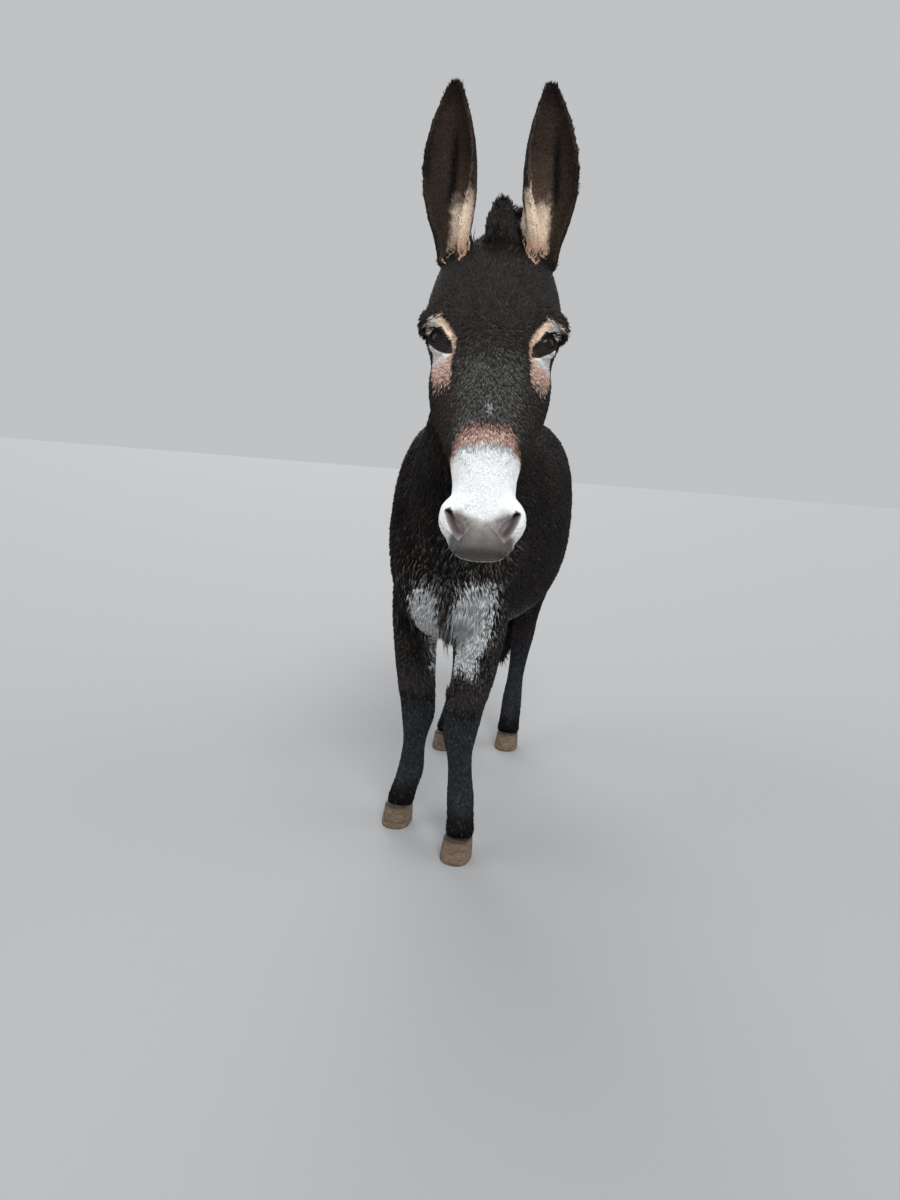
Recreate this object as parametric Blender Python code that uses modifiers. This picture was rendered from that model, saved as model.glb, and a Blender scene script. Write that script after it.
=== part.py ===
"""A standing donkey, life-size, as a still museum model.

Metres, +Z up. The donkey faces -Y and its left side is +X. The origin is on the floor,
under the middle of the whole animal. Every surface is the outside of the winter coat.
The flesh is modelled whole and then parted with thin cuts into head, neck, trunk and legs.
"""
import math

import bmesh
import bpy
from mathutils import Matrix, Vector

# Driving dimensions.
WITHERS = 1.09  # height of the withers over the floor, with the coat
HEAD = 0.515  # poll to lips, with the coat
EAR_LENGTH = 0.265
EYE_RADIUS = 0.0195
GAP = 0.0003  # clear space between neighbouring solids

# The tables of the body and legs are in centimetres for a donkey of 109 cm, from the
# middle between the fore toes; those of the head are in hundredths of its length.
CM = WITHERS / 109
HEAD_SHARE = HEAD / 100

# The stance: how far each toe stands to the side and along. The left forefoot is half a
# step ahead, and the right hind foot is drawn in under the body.
FORE_TOES = {"left": (8.2, -6.1), "right": (-11.2, 6.1)}
HIND_TOES = {"left": (7.8, 71.3), "right": (-12.4, 63.0)}
FORE_SQUARE_TOE = (9.0, 0.0)
HIND_SQUARE_TOE = (8.0, 71.3)

# The carriage of the head: nose turned to the donkey's left, face sloping forwards.
HEAD_TURN = math.radians(11.0)
FACE_SLOPE = math.radians(20.0)
HEAD_TILT = math.radians(1.2)
FACE_TOP = Vector((16.9, -50.7, 134.4)) * CM  # the start of the line of the face

Z = Vector((0, 0, 1))
LEFT = Vector((1, 0, 0))
FORWARD = Vector((0, -1, 0))
SIDES = (("left", 1), ("right", -1))
RING = 20  # points round a lofted section

# Colour (linear red, green, blue) and roughness of each kind of surface.
LOOKS = {
    "coat": ((0.016, 0.012, 0.011), 0.85),
    "mane": ((0.014, 0.010, 0.010), 0.9),
    "hoof": ((0.20, 0.15, 0.12), 0.6),
    "eye": ((0.010, 0.007, 0.006), 0.08),
}


def clear_scene():
    for obj in list(bpy.data.objects):
        bpy.data.objects.remove(obj, do_unlink=True)


def material(name, look):
    colour, roughness = LOOKS[look]
    made = bpy.data.materials.new(name)
    made.use_nodes = True
    shader = made.node_tree.nodes["Principled BSDF"]
    shader.inputs["Base Color"].default_value = (*colour, 1)
    shader.inputs["Roughness"].default_value = roughness
    shader.inputs["Metallic"].default_value = 0.0
    return made


def collection(name):
    made = bpy.data.collections.get(name)
    if made is None:
        made = bpy.data.collections.new(name)
        bpy.context.scene.collection.children.link(made)
    return made


def object_of(name, bm, group="forms"):
    """An object in the named collection from a bmesh, which is used up."""
    bm.normal_update()
    bmesh.ops.recalc_face_normals(bm, faces=bm.faces)
    mesh = bpy.data.meshes.new(name)
    bm.to_mesh(mesh)
    bm.free()
    obj = bpy.data.objects.new(name, mesh)
    collection(group).objects.link(obj)
    return obj


def frozen(obj):
    """The object with its modifiers applied."""
    bpy.context.view_layer.update()
    graph = bpy.context.evaluated_depsgraph_get()
    mesh = bpy.data.meshes.new_from_object(obj.evaluated_get(graph))
    obj.modifiers.clear()
    obj.data = mesh
    return obj


def copy_of(obj, name, group):
    made = bpy.data.objects.new(name, obj.data.copy())
    collection(group).objects.link(made)
    return made


def cutter(name, bm):
    """A helper that cuts the donkey and is no part of it."""
    obj = object_of(name, bm, "cutters")
    obj.hide_render = True
    obj.display_type = "WIRE"
    return obj


def boolean(obj, operation, other):
    cut = obj.modifiers.new(operation.lower(), "BOOLEAN")
    cut.operation = operation
    cut.solver = "EXACT"
    cut.object = other
    return frozen(obj)


def section(centre, ahead, side, half_width, front, back, squares=(2.0, 2.0), count=RING):
    """A ring round centre: half_width to both sides, front along ahead and back against it.
    A square of 2 is half an ellipse, and more is boxier; front and back have their own."""
    points = []
    for i in range(count):
        angle = 2 * math.pi * i / count
        c, s = math.cos(angle), math.sin(angle)
        reach, square = (front, squares[0]) if s >= 0 else (back, squares[1])
        across = half_width * math.copysign(abs(c) ** (2 / square), c)
        along = reach * math.copysign(abs(s) ** (2 / square), s)
        points.append(centre + side * across + ahead * along)
    return points


def loft(name, rings, group="forms", smooth=2):
    """A closed skin over rings of equal count, with flat ends, then subdivided."""
    bm = bmesh.new()
    rows = [[bm.verts.new(p) for p in ring] for ring in rings]
    for low, high in zip(rows, rows[1:]):
        for i in range(len(low)):
            j = (i + 1) % len(low)
            bm.faces.new((low[i], low[j], high[j], high[i]))
    bm.faces.new(rows[0])
    bm.faces.new(rows[-1])
    obj = object_of(name, bm, group)
    if smooth:
        soft = obj.modifiers.new("soft", "SUBSURF")
        soft.levels = soft.render_levels = smooth
    return frozen(obj)


def limb(name, stations, count=RING, **more):
    """A loft along a bent line. A station is (centre, half_width, front, back), and each
    ring stands square to the line there, with its sides to the left and right."""
    rings = []
    for i, (centre, half_width, front, back) in enumerate(stations):
        before = stations[max(i - 1, 0)][0]
        after = stations[min(i + 1, len(stations) - 1)][0]
        along = (after - before).normalized()
        across = (LEFT - along * LEFT.dot(along)).normalized()
        ahead = along.cross(across)
        rings.append(section(centre, ahead, across, half_width, front, back, count=count))
    return loft(name, rings, **more)


def blob(name, centre, radii, axes):
    """An ellipsoid with its radii along the three axes."""
    bm = bmesh.new()
    bmesh.ops.create_uvsphere(bm, u_segments=20, v_segments=12, radius=1.0)
    turn = Matrix([a * r for a, r in zip(axes, radii)]).transposed().to_4x4()
    bmesh.ops.transform(bm, matrix=Matrix.Translation(centre) @ turn, verts=bm.verts)
    return object_of(name, bm)


# ---------------------------------------------------------------- trunk and neck

# Along the body, top, bottom, height of the widest line, half-width.
TRUNK = (
    (-11.0, 86.0, 71.0, 78.5, 5.0),
    (-9.0, 92.5, 64.0, 79.0, 9.0),
    (-5.0, 98.5, 58.5, 79.5, 12.4),
    (0.0, 103.5, 55.0, 80.0, 14.6),
    (6.0, 107.2, 53.0, 81.0, 16.3),
    (13.0, 109.9, 52.0, 82.0, 18.0),
    (22.0, 109.4, 51.5, 82.0, 20.2),
    (34.0, 107.4, 50.5, 81.0, 23.2),
    (46.0, 107.0, 49.5, 81.0, 25.0),
    (56.0, 108.7, 50.8, 81.5, 24.8),
    (64.0, 111.8, 54.8, 83.5, 23.6),
    (72.0, 113.0, 59.0, 85.0, 22.5),
    (80.0, 110.8, 63.0, 86.0, 20.7),
    (87.0, 105.5, 67.0, 86.0, 17.7),
    (93.0, 98.5, 72.0, 86.0, 12.8),
    (96.5, 93.0, 77.5, 86.0, 7.0),
    (98.0, 89.5, 82.0, 86.0, 2.5),
)
TRUNK_SQUARES = (2.45, 2.35)  # back and belly

# Sideways to the left, along, height, half-width, to the crest, to the throat.
NECK = (
    (0.0, 15.0, 86.0, 13.5, 21.5, 25.0),
    (1.5, 3.0, 89.0, 13.0, 20.0, 23.5),
    (4.5, -8.0, 95.0, 11.3, 17.8, 19.5),
    (7.8, -18.5, 103.0, 9.5, 15.5, 15.2),
    (11.2, -28.5, 111.5, 8.2, 13.5, 12.2),
    (14.0, -37.0, 119.0, 7.8, 13.0, 10.5),
    (15.6, -42.5, 124.0, 6.6, 9.0, 6.0),
)


def trunk_form():
    rings = []
    for along, top, bottom, widest, half_width in TRUNK:
        centre = Vector((0, along, widest)) * CM
        sizes = [size * CM for size in (half_width, top - widest, widest - bottom)]
        rings.append(section(centre, Z, LEFT, *sizes, TRUNK_SQUARES))
    return loft("trunk_form", rings)


def neck_form():
    stations = []
    for *place, half_width, crest, throat in NECK:
        sizes = [size * CM for size in (half_width, crest, throat)]
        stations.append((Vector(place) * CM, *sizes))
    return limb("neck_form", stations)


# ---------------------------------------------------------------- head


def head_axes():
    """Down the face, out of the face, and to the donkey's left."""
    nose = Matrix.Rotation(HEAD_TURN, 3, "Z") @ FORWARD
    down = nose * math.sin(FACE_SLOPE) - Z * math.cos(FACE_SLOPE)
    out = nose * math.cos(FACE_SLOPE) + Z * math.sin(FACE_SLOPE)
    tilt = Matrix.Rotation(HEAD_TILT, 3, out)
    return tilt @ down, out, tilt @ out.cross(down)


DOWN, OUT, HEAD_LEFT = HEAD_AXES = head_axes()


def on_head(down, side, depth):
    """A point of the head: down the face from the poll, to the left, and inwards from the
    line of the face."""
    return FACE_TOP + (DOWN * down + HEAD_LEFT * side - OUT * depth) * HEAD_SHARE


# Down the face, depth of the upper surface under the face line, depth of the widest line
# under that surface, depth of the jaw under the widest line, half-width.
SKULL = (
    (-5.0, 15.0, 6.0, 10.0, 9.0),
    (0.5, 9.0, 9.0, 18.0, 14.5),
    (6.0, 5.0, 10.0, 23.0, 17.6),
    (12.0, 2.2, 10.5, 26.5, 19.6),
    (20.0, 0.6, 10.5, 30.5, 21.2),
    (27.0, 0.0, 11.0, 33.5, 22.0),
    (33.0, 0.0, 13.5, 32.5, 20.8),
    (38.0, 0.1, 15.5, 31.5, 19.0),
    (43.0, 0.3, 16.5, 30.0, 19.2),
    (49.0, 0.6, 16.0, 28.0, 18.9),
    (55.0, 0.8, 14.5, 25.0, 17.6),
    (61.0, 1.0, 12.5, 22.0, 15.0),
    (67.5, 1.2, 11.0, 18.5, 12.3),
    (74.0, 1.2, 10.5, 15.0, 9.9),
    (80.0, 0.8, 10.4, 13.2, 9.5),
    (86.0, 0.3, 10.4, 12.4, 10.3),
    (92.0, 0.6, 10.2, 12.0, 11.0),
    (97.0, 3.0, 8.4, 10.2, 9.8),
    (100.0, 6.6, 5.4, 6.4, 6.8),
)
SKULL_SQUARES = (2.2, 2.1)
BROW = (28.5, 15.6, 8.6)  # centre of the ridge over each eye, as (down, side, depth)
BROW_RADII = (6.6, 5.6, 7.6)  # down, out and sideways
EYE = (34.8, 14.6, 7.4)
GAZE = math.radians(52.0)  # how far an eye looks to the side
ORBIT = 0.024  # radius of the dish that the eye lies in
ORBIT_AWAY = 0.031  # the middle of the dish's ball, out from the middle of the eye
NOSTRIL = (89.2, 8.2, 6.0)
NOSTRIL_RADII = (7.0, 5.4, 4.9)
CHIN = (92.0, 0.0, 21.0)
CHIN_RADII = (6.5, 5.5, 6.5)


def head_forms():
    rings = []
    for down, sunk, above, below, half_width in SKULL:
        centre = on_head(down, 0, sunk + above)
        sizes = [size * HEAD_SHARE for size in (half_width, above, below)]
        rings.append(section(centre, OUT, HEAD_LEFT, *sizes, SKULL_SQUARES))
    forms = [loft("skull_form", rings)]
    for name, place, radii in (("brow", BROW, BROW_RADII), ("nostril", NOSTRIL, NOSTRIL_RADII)):
        sizes = [r * HEAD_SHARE for r in radii]
        for side, sign in SIDES:
            centre = on_head(place[0], sign * place[1], place[2])
            forms.append(blob(f"{name}_{side}_form", centre, sizes, HEAD_AXES))
    sizes = [r * HEAD_SHARE for r in CHIN_RADII]
    forms.append(blob("chin_form", on_head(*CHIN), sizes, HEAD_AXES))
    return forms


def eye(side, sign):
    """The ball of an eye."""
    bm = bmesh.new()
    bmesh.ops.create_uvsphere(bm, u_segments=16, v_segments=8, radius=EYE_RADIUS)
    bmesh.ops.translate(bm, verts=bm.verts, vec=on_head(EYE[0], sign * EYE[1], EYE[2]))
    return object_of(f"eye_{side}", bm, "donkey")


def orbit(side, sign):
    """A cutter for the dish in which the eye lies."""
    gaze = OUT * math.cos(GAZE) + HEAD_LEFT * sign * math.sin(GAZE)
    centre = on_head(EYE[0], sign * EYE[1], EYE[2]) + gaze * ORBIT_AWAY
    bm = bmesh.new()
    bmesh.ops.create_uvsphere(bm, u_segments=24, v_segments=12, radius=ORBIT)
    bmesh.ops.translate(bm, verts=bm.verts, vec=centre)
    return cutter(f"orbit_{side}", bm)


# ---------------------------------------------------------------- legs

# Height, sideways, along, half-width, front, back, for a leg that stands square.
FORELEG = (
    (84.0, 6.0, 7.5, 3.0, 6.0, 6.0),
    (76.0, 8.4, 7.5, 5.4, 9.0, 9.2),
    (68.0, 9.3, 8.3, 6.0, 9.3, 9.5),
    (60.0, 9.2, 9.6, 6.1, 8.2, 8.7),
    (53.0, 8.8, 10.0, 6.3, 7.0, 7.4),
    (47.0, 8.3, 9.6, 5.9, 6.0, 6.3),
    (42.0, 7.6, 9.2, 5.2, 5.3, 5.4),
    (37.0, 6.7, 8.8, 4.9, 4.9, 4.6),
    (32.0, 6.1, 8.6, 5.0, 5.0, 4.4),
    (28.5, 6.1, 8.6, 4.6, 4.6, 4.1),
    (25.0, 6.6, 9.0, 3.8, 3.7, 4.0),
    (20.0, 7.0, 9.5, 3.55, 3.2, 3.9),
    (16.0, 7.3, 10.3, 3.7, 3.4, 4.2),
    (13.5, 7.5, 10.4, 4.0, 3.8, 4.4),
    (10.0, 8.3, 9.2, 3.65, 3.5, 4.0),
    (7.0, 9.0, 7.5, 3.6, 3.8, 3.9),
    (3.5, 9.0, 6.0, 3.6, 3.8, 3.8),
)
HINDLEG = (
    (95.0, 6.0, 80.0, 5.0, 8.0, 8.0),
    (86.0, 10.0, 79.5, 8.5, 12.5, 16.5),
    (78.0, 12.0, 78.5, 9.2, 13.8, 17.2),
    (70.0, 12.6, 76.7, 8.6, 12.8, 16.8),
    (62.0, 12.1, 75.7, 7.0, 10.2, 13.2),
    (54.0, 11.2, 78.3, 5.4, 7.1, 8.0),
    (47.0, 10.2, 82.5, 4.4, 5.2, 5.6),
    (43.0, 9.6, 84.8, 4.1, 4.6, 6.4),
    (39.0, 9.1, 86.4, 4.1, 4.5, 5.6),
    (35.0, 8.7, 86.8, 3.7, 3.8, 4.4),
    (28.0, 8.1, 86.2, 3.45, 3.2, 3.8),
    (20.0, 7.7, 85.0, 3.45, 3.1, 3.8),
    (15.5, 7.5, 84.2, 3.7, 3.5, 4.2),
    (13.0, 7.6, 83.6, 3.95, 3.8, 4.4),
    (10.0, 7.8, 81.5, 3.65, 3.5, 4.0),
    (7.0, 8.0, 78.5, 3.6, 3.8, 3.9),
    (3.5, 8.0, 77.0, 3.6, 3.8, 3.8),
)


def leg_form(name, table, sign, square_toe, toe):
    """A leg of the table on one side. The foot is moved from its square place to the toe,
    and less and less of that is left higher up, as the limb swings from the body."""
    top = table[0][0]
    step = Vector((toe[0] - sign * square_toe[0], toe[1] - square_toe[1], 0))
    stations = []
    for height, side, along, *sizes in table:
        place = Vector((sign * side, along, height)) + step * (1 - height / top)
        stations.append((place * CM, *[size * CM for size in sizes]))
    return limb(name, stations)


# The hoof, in centimetres: height of its top at the toe and at the heel, half its width
# and length at the floor, and how far its wall slopes back from the toe to the coronet.
HOOF_TOE, HOOF_HEEL = 6.0, 3.9
HOOF_HALF_WIDTH, HOOF_HALF_LENGTH = 3.9, 4.9
HOOF_LEAN = 1.5
HOOF_SQUARES = (2.3, 2.8)
# Share of the way up the wall, and the size of the ring there.
HOOF_WALL = ((0.0, 0.94), (0.05, 1.0), (0.5, 0.95), (1.0, 0.89))


def hoof(name, toe):
    """A hoof standing flat with its toe at the point, its top sloping to the heel."""
    centre = Vector((toe[0], toe[1] + HOOF_HALF_LENGTH, 0)) * CM
    rings = []
    for share, size in HOOF_WALL:
        middle = centre + Vector((0, HOOF_LEAN * share * CM, 0))
        half_width, half_length = HOOF_HALF_WIDTH * size * CM, HOOF_HALF_LENGTH * size * CM
        sizes = (half_width, half_length, half_length)
        ring = section(middle, FORWARD, LEFT, *sizes, HOOF_SQUARES)
        for point in ring:
            heelwards = ((point.y - middle.y) / half_length + 1) / 2
            point.z = share * (HOOF_TOE + (HOOF_HEEL - HOOF_TOE) * heelwards) * CM
        rings.append(ring)
    return loft(name, rings, group="donkey", smooth=0)


def below_coronet(name, toe):
    """A cutter that holds everything under a hoof's sloping top, with the gap over it."""
    reach = 9.0 * CM
    slope = (HOOF_HEEL - HOOF_TOE) / (2 * HOOF_HALF_LENGTH * HOOF_WALL[-1][1])
    centre = Vector((toe[0], toe[1] + HOOF_HALF_LENGTH + HOOF_LEAN, 0)) * CM
    top_height = (HOOF_TOE + HOOF_HEEL) / 2 * CM + 2 * GAP
    bm = bmesh.new()
    bmesh.ops.create_cube(bm, size=2 * reach)
    for v in bm.verts:
        v.co.z = top_height + slope * v.co.y if v.co.z > 0 else -reach
        v.co += centre
    return cutter(name, bm)


# ---------------------------------------------------------------- flesh

FORM_VOXEL = 0.007
FLESH_TRIANGLES = 4400
SMOOTHING = 8
HEAD_ENDS = -38.0  # in centimetres along: the flesh in front of this is the head
HEAD_KEEPS = 0.99  # a weight a little under 1 leaves the head finer than the body


def joined(name, forms):
    """One object from several, by joining their meshes."""
    bm = bmesh.new()
    for form in forms:
        bm.from_mesh(form.data)
        bpy.data.objects.remove(form)
    return object_of(name, bm, "donkey")


def flesh_of(forms):
    """The forms grown together into one soft closed body of few faces."""
    flesh = joined("flesh", forms)
    whole = flesh.modifiers.new("grown together", "REMESH")
    whole.mode = "VOXEL"
    whole.voxel_size = FORM_VOXEL
    frozen(flesh)
    for side, sign in SIDES:
        boolean(flesh, "DIFFERENCE", orbit(side, sign))
    soft = flesh.modifiers.new("soft", "SMOOTH")
    soft.factor = 0.5
    soft.iterations = SMOOTHING
    frozen(flesh)
    flesh.data.calc_loop_triangles()
    coarse = flesh.vertex_groups.new(name="coarse")
    for v in flesh.data.vertices:
        coarse.add([v.index], HEAD_KEEPS if v.co.y < HEAD_ENDS * CM else 1.0, "REPLACE")
    fewer = flesh.modifiers.new("fewer", "DECIMATE")
    fewer.ratio = FLESH_TRIANGLES / len(flesh.data.loop_triangles)
    fewer.vertex_group = coarse.name
    fewer.use_collapse_triangulate = True
    return frozen(flesh)


def grown(obj, name):
    """A cutter a gap's width outside the object."""
    outer = copy_of(obj, name, "cutters")
    swell = outer.modifiers.new("swell", "DISPLACE")
    swell.strength = GAP
    swell.mid_level = 0.0
    outer.hide_render = True
    outer.display_type = "WIRE"
    return frozen(outer)


def slab(name, point, normal, gap=0.0):
    """A cutter block whose face stands at the point and which lies on the normal's side."""
    size = 2.0
    normal = normal.normalized()
    side = LEFT.cross(normal).normalized()
    turn = Matrix((side, normal.cross(side), normal)).transposed().to_4x4()
    bm = bmesh.new()
    bmesh.ops.create_cube(bm, size=size)
    centre = point + normal * (size / 2 - gap)
    bmesh.ops.transform(bm, matrix=Matrix.Translation(centre) @ turn, verts=bm.verts)
    return cutter(name, bm)


def leg_block(name, sign, along, tops, reach, gap=0.0):
    """A cutter round one leg, from under the floor to a top that rises outwards: along is
    its front and back, tops its height inside and outside, reach its inner and outer side,
    in centimetres."""
    low = -5.0
    bm = bmesh.new()
    bmesh.ops.create_cube(bm, size=2)
    for v in bm.verts:
        outside, behind, above = (c > 0 for c in v.co)
        x = reach[outside] * CM + (gap if outside else -gap)
        y = along[behind] * CM + (gap if behind else -gap)
        z = tops[outside] * CM + gap if above else low * CM
        v.co = Vector((sign * x, y, z))
    return cutter(name, bm)


def part_off(flesh, name, block, wider_block):
    """Cuts what the block holds from the flesh as a node of its own."""
    piece = copy_of(flesh, name, "donkey")
    boolean(piece, "INTERSECT", block)
    boolean(flesh, "DIFFERENCE", wider_block)


# Where the flesh is parted: a point of each plane, in centimetres, and the way it faces.
HEAD_CUT = (Vector((14.5, -37.0, 118.0)), Vector((0.18, -0.96, -0.12)))
NECK_CUT = (Vector((0.0, -2.5, 95.0)), Vector((0.10, -0.92, 0.38)))
FORELEG_BLOCK = {"along": (-15.0, 24.5), "tops": (49.0, 59.0), "reach": (0.4, 30.0)}
HINDLEG_BLOCK = {"along": (62.5, 120.0), "tops": (59.0, 84.0), "reach": (0.6, 32.0)}


def part_flesh(flesh):
    for name, (point, normal) in (("head", HEAD_CUT), ("neck", NECK_CUT)):
        block = slab(f"{name}_block", point * CM, normal)
        part_off(flesh, name, block, slab(f"{name}_gap", point * CM, normal, GAP))
    for pair, sizes in (("foreleg", FORELEG_BLOCK), ("hindleg", HINDLEG_BLOCK)):
        for side, sign in SIDES:
            name = f"{pair}_{side}"
            block = leg_block(f"{name}_block", sign, **sizes)
            part_off(flesh, name, block, leg_block(f"{name}_gap", sign, **sizes, gap=GAP))
    flesh.name = "trunk"


# ---------------------------------------------------------------- ears, mane and tail

# Up the ear: its radius, half the angle that the wall goes round and how far the section
# sits back. All but the angle are hundredths of the ear's length.
EAR = (
    (0.0, 8.2, 150.0, 2.5),
    (12.0, 9.6, 145.0, 1.6),
    (24.0, 12.6, 130.0, 0.6),
    (36.0, 14.8, 116.0, 0.0),
    (50.0, 15.4, 106.0, 0.0),
    (64.0, 14.2, 100.0, 0.4),
    (77.0, 11.2, 96.0, 1.4),
    (88.0, 7.4, 92.0, 2.8),
    (96.0, 4.0, 88.0, 4.4),
    (100.0, 1.8, 86.0, 5.4),
)
EAR_WALL = 0.008
EAR_POINTS = 11
EAR_BOW = 0.015  # how far the ear bows outwards midway, in lengths
EAR_ROOT = (8.0, 13.8, 9.0)  # as EYE
EAR_OUTWARD = math.radians(14.0)  # how far the opening looks away from the nose
EAR_TIP = {"left": Vector((-0.02, 0.0, 1)), "right": Vector((-0.07, 0.0, 1))}


def ear(side, sign):
    """A cupped leaf, open to the front: an arc swept up the ear and given its thickness."""
    up = EAR_TIP[side].normalized()
    nose = Matrix.Rotation(HEAD_TURN + sign * EAR_OUTWARD, 3, "Z") @ FORWARD
    front = (nose - up * nose.dot(up)).normalized()
    across = up.cross(front)
    root = on_head(EAR_ROOT[0], sign * EAR_ROOT[1], EAR_ROOT[2])
    bm = bmesh.new()
    rows = []
    for share, radius, opening, back in EAR:
        bow = sign * EAR_BOW * math.sin(math.pi * share / 100)
        centre = root + (up * share / 100 - front * back / 100 + LEFT * bow) * EAR_LENGTH
        row = []
        for i in range(EAR_POINTS):
            angle = math.radians(opening) * (2 * i / (EAR_POINTS - 1) - 1)
            around = across * math.sin(angle) - front * math.cos(angle)
            row.append(bm.verts.new(centre + around * EAR_LENGTH * radius / 100))
        rows.append(row)
    for low, high in zip(rows, rows[1:]):
        for i in range(EAR_POINTS - 1):
            bm.faces.new((low[i], low[i + 1], high[i + 1], high[i]))
    obj = object_of(f"ear_{side}", bm, "donkey")
    wall = obj.modifiers.new("wall", "SOLIDIFY")
    wall.thickness = EAR_WALL
    wall.offset = 0.0
    return frozen(obj)


# The upright mane follows the crest of the neck, from the withers to the forelock between
# the ears. Sideways, along, height of its root, then its height and half-thickness.
MANE = (
    (0.3, 17.5, 107.0, 2.4, 1.4),
    (1.8, 10.0, 107.6, 4.0, 1.8),
    (4.5, 1.6, 110.0, 5.2, 2.0),
    (7.8, -8.8, 115.0, 5.8, 2.0),
    (11.2, -19.7, 121.7, 6.0, 2.1),
    (14.2, -30.6, 128.5, 6.0, 2.3),
    (15.4, -38.0, 132.0, 6.6, 2.8),
    (16.0, -42.5, 133.0, 7.4, 3.5),
    (16.4, -46.0, 132.6, 7.0, 3.6),
    (16.6, -48.5, 131.0, 3.6, 2.4),
)
MANE_ROOT = 4.0  # how far the ridge goes down into the neck


def mane():
    stations = []
    for *place, tall, half_thickness in MANE:
        sizes = [size * CM for size in (half_thickness, tall, MANE_ROOT)]
        stations.append((Vector(place) * CM, *sizes))
    return limb("mane", stations, count=12, group="donkey", smooth=0)


# Along, height, half-width and half-depth: the dock, then the switch of long hair.
TAIL = (
    (87.0, 99.5, 3.0, 3.0),
    (93.5, 96.0, 3.3, 3.3),
    (98.3, 90.5, 3.3, 3.2),
    (100.6, 83.0, 2.9, 2.9),
    (100.9, 74.0, 2.5, 2.5),
    (100.0, 65.0, 2.3, 2.3),
    (99.0, 57.0, 2.4, 2.4),
)
SWITCH = (
    (99.0, 57.0, 2.4, 2.4),
    (98.25, 51.0, 3.3, 3.1),
    (97.6, 43.0, 3.6, 3.4),
    (97.2, 35.0, 2.7, 2.6),
    (97.0, 28.5, 0.8, 0.8),
)


def tail_piece(name, table, drop=0.0):
    stations = []
    for along, height, half_width, half_depth in table:
        place = Vector((0, along * CM, height * CM - drop))
        stations.append((place, half_width * CM, half_depth * CM, half_depth * CM))
    return limb(name, stations, count=14, group="donkey", smooth=0)


# ---------------------------------------------------------------- the whole donkey


def finish_nodes():
    """Moves the origin to the floor under the animal's middle, and gives the materials."""
    nodes = collection("donkey").objects
    corners = [v.co for obj in nodes for v in obj.data.vertices]
    middle_x = (min(c.x for c in corners) + max(c.x for c in corners)) / 2
    middle_y = (min(c.y for c in corners) + max(c.y for c in corners)) / 2
    for obj in nodes:
        obj.data.transform(Matrix.Translation((-middle_x, -middle_y, 0)))
        obj.data.shade_smooth()
        kind = obj.name.split("_")[0]
        look = {"hoof": "hoof", "eye": "eye", "mane": "mane", "switch": "mane"}.get(kind, "coat")
        obj.data.materials.clear()
        obj.data.materials.append(material(obj.name, look))


def build():
    clear_scene()
    forms = [trunk_form(), neck_form(), *head_forms()]
    hooves = {}
    for pair, table, square_toe, toes in (
        ("fore", FORELEG, FORE_SQUARE_TOE, FORE_TOES),
        ("hind", HINDLEG, HIND_SQUARE_TOE, HIND_TOES),
    ):
        for side, sign in SIDES:
            hooves[f"hoof_{pair}_{side}"] = toes[side]
            forms.append(leg_form(f"{pair}leg_{side}_form", table, sign, square_toe, toes[side]))
    flesh = flesh_of(forms)
    for name, toe in hooves.items():
        hoof(name, toe)
        boolean(flesh, "DIFFERENCE", below_coronet(f"{name}_cut", toe))
    outside = grown(flesh, "flesh_outside")
    for side, sign in SIDES:
        boolean(ear(side, sign), "DIFFERENCE", outside)
        ball = eye(side, sign)
        boolean(flesh, "DIFFERENCE", grown(ball, f"socket_{side}"))
    boolean(mane(), "DIFFERENCE", outside)
    boolean(tail_piece("tail", TAIL), "DIFFERENCE", outside)
    tail_piece("switch", SWITCH, drop=2 * GAP)
    part_flesh(flesh)
    finish_nodes()


build()
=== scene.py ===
"""The looks of a standing donkey: one skin over the flesh, its winter coat in solid tufts,
lids, eyes, nostrils, hooves and whiskers, on a pale studio floor.

Metres, +Z up. The donkey faces -Y and its left side is +X. Skin and coat take their colours
from one function of the place on the body, so the markings agree. Places on the head are in
hundredths of its length: down the face from the poll, to the side and inwards.
"""
import math

import bmesh
import bpy
import numpy as np
from mathutils import Matrix, Vector
from mathutils.bvhtree import BVHTree

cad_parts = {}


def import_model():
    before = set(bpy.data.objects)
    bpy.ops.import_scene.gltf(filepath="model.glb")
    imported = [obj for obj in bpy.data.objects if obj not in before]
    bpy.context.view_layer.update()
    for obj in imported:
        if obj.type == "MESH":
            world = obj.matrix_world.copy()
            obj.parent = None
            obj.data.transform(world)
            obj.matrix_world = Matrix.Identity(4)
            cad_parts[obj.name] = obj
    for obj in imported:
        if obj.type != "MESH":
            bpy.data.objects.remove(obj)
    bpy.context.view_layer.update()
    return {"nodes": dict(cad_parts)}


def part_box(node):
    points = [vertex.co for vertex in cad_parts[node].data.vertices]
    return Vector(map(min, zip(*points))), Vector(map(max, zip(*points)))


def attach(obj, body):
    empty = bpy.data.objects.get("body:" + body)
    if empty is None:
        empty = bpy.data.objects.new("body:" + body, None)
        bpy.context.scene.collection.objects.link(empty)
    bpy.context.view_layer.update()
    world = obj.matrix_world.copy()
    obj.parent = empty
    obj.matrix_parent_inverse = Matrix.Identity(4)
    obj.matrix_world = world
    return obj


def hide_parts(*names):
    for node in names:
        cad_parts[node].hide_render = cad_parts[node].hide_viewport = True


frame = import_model()

SEED = 11
SIDES = (("left", 1), ("right", -1))
EARS = ("ear_left", "ear_right")
MM = 0.001
UP = np.array((0.0, 0.0, 1.0))

# ---------------- landmarks of the frame


def middle(node):
    low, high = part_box(node)
    return np.array((low + high) / 2)


def unit(v):
    return v / np.linalg.norm(v, axis=-1, keepdims=True)


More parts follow.
